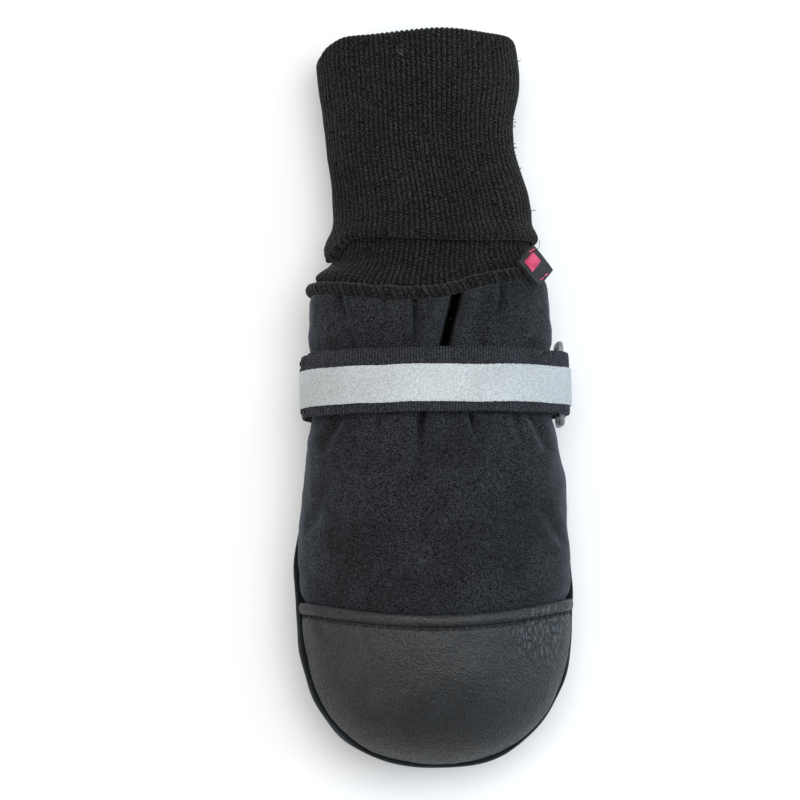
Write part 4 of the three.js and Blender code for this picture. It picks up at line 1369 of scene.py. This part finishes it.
def cuff_rows(turn):
    """Each row: distance from the toe tip, growth, strength of its ribs out and towards the mouth."""
    side = np.cos(np.radians(turn))
    collar = collar_line(side * COLLAR_WIDTH / 2) - COLLAR_ROLL / 2 + GAP
    mouth = mouth_line(side)
    left_lobe = 6.5 * hill(turn, 168, 13)
    wave = 0.5 * np.sin(np.radians(turn) * 3 + 0.6)
    rim = FOOT_LENGTH + RIM_AT + RIM_SLANT * side - left_lobe + wave
    outer = KNIT_WALL + LAYER_GAP
    fold = (outer + KNIT_WALL) / 2
    middle = (outer - KNIT_WALL) / 2
    rows = []
    for share in np.linspace(0, 1, 30)[:-1]:
        rows.append((mix(collar, mouth - fold, share), -KNIT_WALL, -0.5, 0.0))
    for bend in np.linspace(-90, 90, 11)[:-1]:
        back = fold * (1 - math.cos(math.radians(bend)))
        ahead = math.cos(math.radians(bend))
        rows.append((mouth - back, middle + fold * math.sin(math.radians(bend)), 0.9, ahead))
    for share in np.linspace(0, 1, 76)[:-1]:
        rows.append((mix(mouth - fold, rim + RIM[0][0], share), outer, 1.0, 0.0))
    for ahead, out in RIM:
        rows.append((rim + ahead, out, 0.9, 0.0))
    for share in np.linspace(0.06, 0.95, 7):
        rows.append((mix(rim, mouth - fold, share), LAYER_GAP, 0.0, 0.0))
    for share in np.linspace(0.93, 0.12, 6):
        rows.append((mix(rim, mouth - fold, share), 0.0, 0.0, 0.0))
    for share in np.linspace(1, 0, 30):
        rows.append((mix(collar, rim + 5, share), 0.0, 1.0, 0.0))
    return rows


# %% Cuff
# Dents in its top: x, distance, half width, half length, depth, all in mm.
DENTS = [
    (-24, 158, 7, 6, 1.6),
    (4, 190, 10, 16, 0.7),
    (-10, 205, 9, 8, 0.5),
    (14, 158, 9, 5, 0.6),
]
# Bulges of its sides: hand, height, how far aside they start and are full, distance, half length.
BULGES = [
    (-1, 3.0, 20, 31, 150.5, 2.8),
    (-1, 1.1, 20, 29, 157.5, 4),
    (1, 1.4, 12, 22, 208, 11),
    (1, 2.4, 18, 26, 174, 12),
]


def cuff_softness(point):
    """Slow waves of the slack tube, and the dents and bulges that show in it."""
    x, distance = point[..., 0], point[..., 1] + TOE_LENGTH
    top = smooth(point[..., 2], 14, 22)
    out = 0.45 * lumps(point * [1, 0.6, 1], 24, 31) + 0.16 * lumps(point, 9, 32)
    for at_x, at_s, wide, long, deep in DENTS:
        out = out - top * deep * hill(x, at_x, wide) * hill(distance, at_s, long)
    for hand, high, starts, full, at_s, long in BULGES:
        out = out + high * smooth(hand * x, starts, full) * hill(distance, at_s, long)
    return out


def make_cuff():
    count = RIBS * RIB_SAMPLES
    middle_of_cuff = FOOT_LENGTH + CUFF_LENGTH * 0.6
    turn, around = even_turns(count, lambda t: free_ring(t, middle_of_cuff + 0 * t, 2.2 + 0 * t))
    column = np.arange(count)
    rows = cuff_rows(turn)
    distance = np.array([row[0] for row in rows])
    grow = np.array([np.full(count, row[1]) for row in rows])
    strength = np.array([row[2] for row in rows])[:, None]
    ahead = np.array([row[3] for row in rows])[:, None]
    wander = 0.35 * lumps(np.stack([0 * distance, distance, 0 * distance + turn / 4], -1), 45, 33)
    turn = turn[None, :] + wander
    base = cuff_point(turn, distance, grow)
    rib = RIB_HEIGHT * (rib_at(column)[None, :] - 0.6)
    lively = 1 + 0.25 * lumps(base, 5, 34)
    distance = distance + rib * ahead
    point = cuff_point(turn, distance, grow + rib * strength * lively + cuff_softness(base))
    run = distance + 0 * turn
    uv = np.stack([np.broadcast_to(column / RIB_SAMPLES * RIB_PITCH, run.shape), run], -1)
    settle(closed_ring("knit_cuff", point, uv), KNIT, "rib_knit", "cuff")
    print("one rib, mm:", round(around / RIBS, 2))


make_cuff()

# %% [markdown]
# ## Knit roll
# Where the cuff meets the body, a narrow strip of the same knit is rolled into the seam. Its ribs
# cross the roll, so it is a bead carried round the collar with its radius rising and falling.


# %% Collar roll
def make_collar():
    count = RIBS * RIB_SAMPLES
    turn, _ = even_turns(count, lambda t: on_last(2.0, t))
    column = np.arange(count)
    bead = np.linspace(0, 360, 18, endpoint=False)[:, None]
    turned = turn + 1.5 * np.sin(np.radians(bead))
    line = on_last(2.0, turned)
    radius = COLLAR_ROLL / 2 + 0.25 + 0.24 * (rib_at(column)[None, :] - 0.6) + 0.24 * lumps(line, 9, 41)
    back = radius * np.sin(np.radians(bead))
    proud = COLLAR_ROLL / 2 - BEAD_INSIDE + radius * np.cos(np.radians(bead))
    point = last_point(collar_edge(turned, -back), turned, proud)
    point[..., 2] += GAP
    uv = np.stack([np.broadcast_to(column / RIB_SAMPLES * RIB_PITCH, back.shape),
                   np.zeros(back.shape)], -1)
    settle(closed_ring("knit_collar_roll", point, uv), KNIT, "rib_knit", "collar_band")


make_collar()

# %% [markdown]
# ## Webbing
# The strap is one length of ribbed webbing. It is sewn at the left side, crosses the front, turns
# round the ring's upper bar and comes back over itself. A second, short length goes under the wrist
# and holds the ring's lower bar. Both are strips along a path: the path is cut into even steps, six to
# a rib, each rib is raised a little, and the selvedges are rounded. A curve with a bevel would be
# quicker, but it can't carry ribs that follow the bend.

# %% Paths of the webbing
WEBBING_WALL = 1.2
RING_LENGTH = 26
RING_WIDTH = 12
RING_BAR = 1.8
RING_CORNER = 2.6
RING_HEIGHT = 19
BEND_RADIUS = 2.1
UNDER_GROW = GAP + WEBBING_WALL / 2
OVER_GROW = UNDER_GROW + WEBBING_WALL + GAP
BEND_GROW = UNDER_GROW + 2 * BEND_RADIUS
BAR_X = WRIST_WIDTH / 2 + UNDER_GROW + BEND_RADIUS
BAR_REACH = RING_WIDTH / 2 - RING_BAR / 2
# Turns round the wrist in degrees: where each run of webbing starts and ends, and where the run that
# comes back over it lies flat again.
STRAP_UNDER = (172, 20)
STRAP_OVER = (17, 248)
STRAP_FLAT = 45
BACK_UNDER = (187, 343)
BACK_OVER = (340, 316)
BACK_FLAT = 318
TAPE_END = 200
STRAP_STATION = station_at(STRAP_AT)


def wrist_path(turns, grow):
    """Points x and z round the wrist, each standing out by its own growth."""
    points = last_point(STRAP_STATION, turns, np.broadcast_to(grow, turns.shape))
    return np.stack([points[:, 0], points[:, 2] + GAP], -1)


def bar_bend(height, start, end, grow=0.0):
    turn = np.radians(np.linspace(start, end, 24))
    reach = BEND_RADIUS + grow
    return np.stack([BAR_X + reach * np.cos(turn), height + reach * np.sin(turn)], -1)


def over_growth(turns, leaves, flat):
    return mix(BEND_GROW, OVER_GROW, np.clip((turns - leaves) / (flat - leaves), 0, 1))


# %% Strips
SELVEDGE = np.array([-1, -0.99, -0.96, -0.9, -0.72, -0.45, -0.15, 0.15, 0.45, 0.72, 0.9, 0.96, 0.99, 1])


def strip(name, path, width, wall, middle, rib=0.0, pitch=0.16, wobble=0.1, seed=51):
    """Closed strip of cloth along a path of x and z. middle gives its place along the foot."""
    run = run_along(path)
    soft = np.arange(0, run[-1], 0.8)
    coarse = np.stack([np.interp(soft, run, path[:, k]) for k in range(2)], -1)
    for _ in range(2):
        coarse[1:-1] = (coarse[:-2] + 2 * coarse[1:-1] + coarse[2:]) / 4
    at = np.arange(0, soft[-1], pitch)
    line = np.stack([np.interp(at, soft, coarse[:, k]) for k in range(2)], -1)
    ahead = unit(np.gradient(line, axis=0))
    across = np.stack([-ahead[:, 1], ahead[:, 0]], -1)
    share = SELVEDGE[None, :]
    wave = np.cos(at * 2 * math.pi / RIB_OF_WEBBING)[:, None]
    along = np.stack([at, 0 * at, 0 * at], -1)
    slow = lumps(along, 19, seed)[:, None]
    fine = lumps(along, 1.6, seed + 1)[:, None]
    half_wall = wall / 2 * np.clip(1 - np.abs(share) ** 14, 0, 1) ** 0.5
    raised = rib * wave * (0.9 + 0.25 * np.abs(share))
    y = middle(at)[:, None] - TOE_LENGTH + share * width / 2
    y = y + wobble * slow + share * (rib * 1.3 * wave + wobble * 0.5 * fine)
    faces_of = []
    for hand in (1, -1):
        off = hand * (half_wall + np.maximum(raised, -wall / 4) * (np.abs(share) < 0.995))
        x = line[:, :1] + across[:, :1] * off
        z = line[:, 1:] + across[:, 1:] * off
        faces_of.append(np.stack([x, y + 0 * x, np.maximum(z, 0.02)], -1))
    outer, inner = faces_of
    uv = np.stack([at[:, None] + 0 * share, share * width / 2 + 0 * at[:, None]], -1)
    grid = grid_faces(len(at), SELVEDGE.size)
    rows = grid.tolist()
    count = outer.shape[0] * outer.shape[1]
    rows += [[corner + count for corner in reversed(row)] for row in rows]
    rows += [[b, a, a + count, b + count] for a, b in open_edges(grid.tolist())]
    points = np.concatenate([outer.reshape(-1, 3), inner.reshape(-1, 3)])
    return new_piece(name, points, rows, np.concatenate([uv.reshape(-1, 2)] * 2))


# %% Strap, back webbing and tape
TAPE_WIDTH = 11.4
TAPE_WALL = 0.35
TAPE_SHIFT = -1.3
WEBBING_RIB = 0.1
STRAP_SHIFT = -0.35
RING_PULL = 0.8


def make_webbing():
    under = wrist_path(np.linspace(*STRAP_UNDER, 80), UNDER_GROW)
    turned = bar_bend(RING_HEIGHT + BAR_REACH, 180, 360)
    turns = np.linspace(*STRAP_OVER, 130)
    over = wrist_path(turns, over_growth(turns, STRAP_OVER[0], STRAP_FLAT))
    path = np.concatenate([under, turned, over])
    length = run_along(under)[-1]

    def strap_middle(at):
        return STRAP_AT + RING_PULL * (1 - smooth(at, length - 14, length + 6)) + STRAP_SHIFT

    strap = strip("front_strap", path, WEBBING_WIDTH, WEBBING_WALL, strap_middle, WEBBING_RIB)
    settle(strap, WEBBING, "webbing", "strap")

    under = wrist_path(np.linspace(*BACK_UNDER, 80), UNDER_GROW)
    turned = bar_bend(RING_HEIGHT - BAR_REACH, 180, 0)
    drop = np.array([[BAR_X + BEND_RADIUS, RING_HEIGHT - BAR_REACH - RING_BAR]])
    turns = np.linspace(*BACK_OVER, 20)
    back = wrist_path(turns, over_growth(turns, BACK_OVER[0], BACK_FLAT))
    path = np.concatenate([under, turned, drop, back])
    keeper = strip("back_strap", path, WEBBING_WIDTH, WEBBING_WALL, lambda at: STRAP_AT + 0 * at,
                   WEBBING_RIB)
    settle(keeper, WEBBING, "webbing", "back_webbing")

    turns = np.linspace(STRAP_OVER[0], TAPE_END, 122)
    proud = WEBBING_WALL / 2 + GAP + TAPE_WALL / 2
    start = bar_bend(RING_HEIGHT + BAR_REACH, 335, 360, proud)
    over = wrist_path(turns, over_growth(turns, STRAP_OVER[0], STRAP_FLAT) + proud)
    tape = strip("tape", np.concatenate([start, over]), TAPE_WIDTH, TAPE_WALL,
                 lambda at: STRAP_AT + TAPE_SHIFT + 0 * at, pitch=0.22, wobble=0.16, seed=61)
    settle(tape, REFLECTIVE, "reflective", "reflective_tape")


make_webbing()

# %% [markdown]
# ## Ring
# The ring is a moulded oblong with round bars. Its middle line is four straights and four quarter
# circles, and a soft square is carried along it.


# %% Ring
BAR_ROUNDNESS = 2.8


def rounded_oblong(length, width, corner, steps=10):
    """Middle line of a rounded rectangle: places along the foot, and heights."""
    points = []
    for quarter in range(4):
        turn = np.radians(np.linspace(0, 90, steps) + 90 * quarter)
        right, up = [(1, 1), (-1, 1), (-1, -1), (1, -1)][quarter]
        y = right * (length / 2 - corner) + corner * np.cos(turn)
        z = up * (width / 2 - corner) + corner * np.sin(turn)
        points.append(np.stack([y, z], -1))
    return np.concatenate(points)


def make_ring():
    line = rounded_oblong(RING_LENGTH - RING_BAR, RING_WIDTH - RING_BAR, RING_CORNER - RING_BAR / 2)
    ahead = unit(np.roll(line, -1, axis=0) - np.roll(line, 1, axis=0))
    out = np.stack([ahead[:, 1], -ahead[:, 0]], -1)
    turn = np.linspace(0, 2 * math.pi, 20, endpoint=False)
    across = RING_BAR / 2 * boxy(np.cos(turn), 2 / BAR_ROUNDNESS)
    thick = RING_BAR / 2 * boxy(np.sin(turn), 2 / BAR_ROUNDNESS)
    y = line[:, :1] + out[:, :1] * across + STRAP_AT - TOE_LENGTH
    z = line[:, 1:] + out[:, 1:] * across + RING_HEIGHT
    points = np.stack([BAR_X + thick + 0 * y, y, z], -1)
    settle(closed_ring("oblong_ring", points), RING_PLASTIC, "ring_plastic", "strap_ring")


make_ring()

# %% [markdown]
# ## Tag
# A short black ribbon is folded in two and caught in the collar seam on the right. Its face has a
# plain pink block of satin stitch and a few pink stitches at its edges. The block is real thread:
# short tubes side by side.

# %% Tag
TAG_LENGTH = 8.5
TAG_WIDTH = 10
TAG_LEAF = 0.6
TAG_OPEN = 0.5
TAG_THICK = 2 * TAG_LEAF + TAG_OPEN
TAG_SEAT = 42.0
TAG_LEAN = math.radians(50)
TAG_START = 1
TAG_SHIFT = -1.6
TAG_DROOP = 0.35
PINK_ROWS = 13
PINK_START = 1.5
PINK_PITCH = 0.38
PINK_MIDDLE = -1.7
PINK_REACH = 1.9
PINK_STAGGER = 0.3
PINK_THICK = 0.24
# Single pink stitches: along the tag, across it, half their length, all in mm.
PINK_STITCHES = [
    (6.0, -4.5, 0.9),
    (6.9, -4.2, 0.6),
    (2.4, 3.9, 1.1),
    (4.6, 4.1, 0.9),
]


def tag_frame():
    """Root of the tag, and its three directions: along, out of its face and across."""
    edge = collar_edge(np.array([TAG_SEAT]))
    face = outward(edge, np.array([TAG_SEAT]))[0]
    proud = COLLAR_ROLL - BEAD_INSIDE + GAP + TAG_LEAF + TAG_OPEN / 2
    along = np.array([math.sin(TAG_LEAN), math.cos(TAG_LEAN), 0.0])
    along = unit(along - along.dot(face) * face)
    root = last_point(edge, np.array([TAG_SEAT]), np.array([proud]))[0] + along * TAG_START
    return root + [0, TAG_SHIFT, GAP], np.stack([along, face, np.cross(along, face)])


def tag_droop(along):
    return TAG_DROOP * (along / TAG_LENGTH) ** 2


def make_tag():
    root, axes = tag_frame()
    run = np.linspace(0, TAG_LENGTH - TAG_THICK / 2, 30)
    bend = np.radians(np.linspace(90, -90, 14))
    half = (TAG_THICK - TAG_LEAF) / 2
    upper = np.stack([run, half + 0 * run], -1)
    fold = np.stack([run[-1] + half * np.cos(bend), half * np.sin(bend)], -1)[1:-1]
    lower = np.stack([run[::-1], -half + 0 * run], -1)
    line = np.concatenate([upper, fold, lower])
    length = run_along(line)
    ahead = unit(np.gradient(line, axis=0))
    out = np.stack([-ahead[:, 1], ahead[:, 0]], -1)
    across = np.linspace(-1, 1, 23)[None, :] * TAG_WIDTH / 2
    rib = 0.03 * np.cos(length * 2 * math.pi / 0.45)[:, None]
    edge = 1 - 0.35 * (np.abs(across) > TAG_WIDTH / 2 - 0.3)
    droop = 0.18 * np.sin(across / 3.1 + line[:, :1] / 5) - tag_droop(line[:, :1])

    def layer(hand):
        off = hand * TAG_LEAF / 2 * edge + rib
        local = np.stack([line[:, :1] + out[:, :1] * off, line[:, 1:] + out[:, 1:] * off + droop,
                          across + 0 * off], -1)
        return root + local @ axes

    uv = np.stack([across + 0 * length[:, None], length[:, None] + 0 * across], -1)
    faces = grid_faces(len(line), across.size)
    tag = closed_wall("folded_tag", layer(1), layer(-1), faces, uv)
    settle(tag, RIBBON, "ribbon", "side_tag")

    share = np.linspace(-1, 1, 9)
    paths = []
    for row in range(PINK_ROWS):
        along = PINK_START + row * PINK_PITCH + 0 * share
        lift = TAG_THICK / 2 + 0.1 - 0.28 * np.abs(share) ** 5 - tag_droop(along)
        aside = (PINK_REACH + PINK_STAGGER * (row % 2)) * share + PINK_MIDDLE
        paths.append(root + np.stack([along, lift, aside], -1) @ axes)
    for along, aside, half_length in PINK_STITCHES:
        lift = TAG_THICK / 2 + 0.08 - 0.3 * np.abs(share) ** 3 - tag_droop(along)
        paths.append(root + np.stack([along + half_length * share, lift, aside + 0.2 * share], -1) @ axes)
    block = tubes("tag_pink_block", np.array(paths), PINK_THICK, 7)
    settle(block, PINK_THREAD, "ribbon")


make_tag()

# %% [markdown]
# ## Seams
# Thread shows on the cap's groove, along both side seams between the strap and the collar, across the
# heel end of the sole and where the strap is sewn down. Each row is stitched along a line on the last,
# so it dips into the same cloth that it holds.


# %% Stitches
def line_on_last(t, turn, proud):
    """Points on the last and the direction out of the cloth at each."""
    points = last_point(t, turn, np.broadcast_to(proud, np.shape(turn)))
    points[:, 2] += GAP
    return points, outward(t, turn)


def make_stitches():
    turn = np.linspace(SEAM_RISE + 2, 178 - SEAM_RISE, 220)
    path, up = line_on_last(cap_edge(turn, GROOVE_AT), turn, -0.32)
    groove = stitch_row("cap_stitches", path, up, pitch=2.5, length=2.0, radius=0.26, sink=0.6)
    settle(groove, BLACK_THREAD, "grain_leather")

    for name, front, back in (("right", 7.0, 24.0), ("left", 170.0, 160.0)):
        t = np.linspace(station_at(STRAP_AT + 11), station_at(FOOT_LENGTH - 1), 60)
        path, up = line_on_last(t, np.linspace(front, back, 60), 0.3)
        seam = stitch_row(f"side_seam_{name}", path, up, pitch=1.5, length=1.1, radius=0.15, sink=0.7,
                          slant=0.25)
        settle(seam, GREY_THREAD, "body_fabric")

    turn = np.linspace(180 - HEEL_TURN + 2, 358 + HEEL_TURN, 90)
    heel = station_at(SOLE_LENGTH + 0.9)
    path, up = line_on_last(np.full(90, heel), turn, 0.3)
    heel_row = stitch_row("heel_stitches", path, up, pitch=1.5, length=1.9, radius=0.25, slant=0.8)
    settle(heel_row, PALE_THREAD, "suede")

    for number, turned in enumerate((171.0, 179.0)):
        points = wrist_path(np.array([turned, turned + 0.5]), OVER_GROW + WEBBING_WALL / 2)[0]
        y = np.linspace(-8.8, 8.8, 30) + STRAP_AT - TOE_LENGTH
        path = np.stack([points[0] + 0 * y, y, points[1] + 0 * y], -1)
        up = np.broadcast_to(outward(STRAP_STATION, np.array([turned])), path.shape)
        box = stitch_row(f"strap_stitches_{number + 1}", path, up, pitch=2.1, length=1.7, radius=0.25)
        settle(box, BLACK_THREAD, "webbing")


make_stitches()

# %% [markdown]
# ## Serged seam, loose threads and fuzz
# The cuff is closed by a serged seam down its right side: one thread wound over the edge in small
# loops. Knit also sheds: fine fibres stand out of the ribs, one pale curl of lint lies near the mouth
# and one black thread end hangs by the tag. All of these are thin tubes.


# %% Serged seam and fibres
SERGE_TURN = 3.0
SERGE_PITCH = 1.25
SERGE_THICK = 0.19
THREAD_ENDS = 46
OUTER_KNIT = KNIT_WALL + LAYER_GAP + 0.1


def make_serging():
    count = 900
    distance = np.linspace(FOOT_LENGTH + RIM_AT + 7, FOOT_LENGTH + CUFF_LENGTH - 7, count)
    turn = SERGE_TURN + 1.2 * np.sin(distance / 11)
    base = cuff_point(turn, distance, np.full(count, OUTER_KNIT))
    wound = (distance - distance[0]) / SERGE_PITCH * 2 * math.pi
    size = 0.95 + 0.3 * np.sin(distance * 1.7) + 0.25 * np.sin(distance * 0.61) ** 3
    offset = np.stack([size * 0.6 * np.sin(wound), 0.35 * np.cos(wound * 2), size * np.cos(wound)], -1)
    serging = tubes("serged_seam", (base + offset)[None], SERGE_THICK, 6)
    settle(serging, BLACK_THREAD, "rib_knit")
    chance = np.random.default_rng(70)
    picked = chance.choice(count, THREAD_ENDS)
    out = np.tile([1.0, 0.0, 0.1], (len(picked), 1))
    ends = stray_fibres("serging_ends", base[picked] + [0.5, 0, 0], out, length=1.5, radius=0.2, seed=75,
                        spread=0.5)
    settle(ends, BLACK_THREAD, "rib_knit")


def make_fuzz():
    chance = np.random.default_rng(71)
    count = 620
    distance = chance.uniform(FOOT_LENGTH + RIM_AT - 1, FOOT_LENGTH + CUFF_LENGTH - 1, count)
    turn = chance.uniform(25, 155, count)
    out = np.where(distance < FOOT_LENGTH + RIM_AT + 3, 3.6, OUTER_KNIT)
    starts = cuff_point(turn, distance, out)
    ups = unit(cuff_point(turn, distance, out + 1) - starts)
    fuzz = stray_fibres("cuff_fuzz", starts, ups, length=0.9, radius=0.032, seed=72)
    settle(fuzz, BLACK_THREAD, "rib_knit")

    count = 420
    t = chance.uniform(1.02, 1.98, count)
    turn = chance.uniform(12, 168, count)
    clear = np.abs(mix(TOE_LENGTH, FOOT_LENGTH, t - 1) - STRAP_AT) > WEBBING_WIDTH / 2 + 1.5
    t, turn = t[clear], turn[clear]
    starts, ups = line_on_last(t, turn, 0.2)
    lint = stray_fibres("body_lint", starts, ups, length=0.9, radius=0.026, seed=73, spread=1.4)
    settle(lint, PALE_THREAD, "body_fabric")


def make_loose_threads():
    share = np.linspace(0, 1, 40)
    at = cuff_point(np.array([101.0]), np.array([217.0]), np.array([2.9]))[0]
    wound = share * 2.6 * math.pi
    size = 1 - 0.5 * share + 0.25 * np.sin(share * 9)
    curl = np.stack([1.0 * np.cos(wound) * size, 0.9 * np.sin(wound * 0.8) * size, 0.5 * share], -1)
    lint = tubes("lint_curl", (at + curl)[None], 0.045, 5)
    settle(lint, PALE_THREAD, "rib_knit")
    root, axes = tag_frame()
    local = np.stack([6 + 4.5 * share, 1.1 + 0.8 * np.sin(share * 3), 0.6 * np.sin(share * 5) - 4.2], -1)
    loose = tubes("tag_thread_end", (root + local @ axes)[None], 0.09, 5)
    settle(loose, BLACK_THREAD, "ribbon")


make_serging()
make_fuzz()
make_loose_threads()
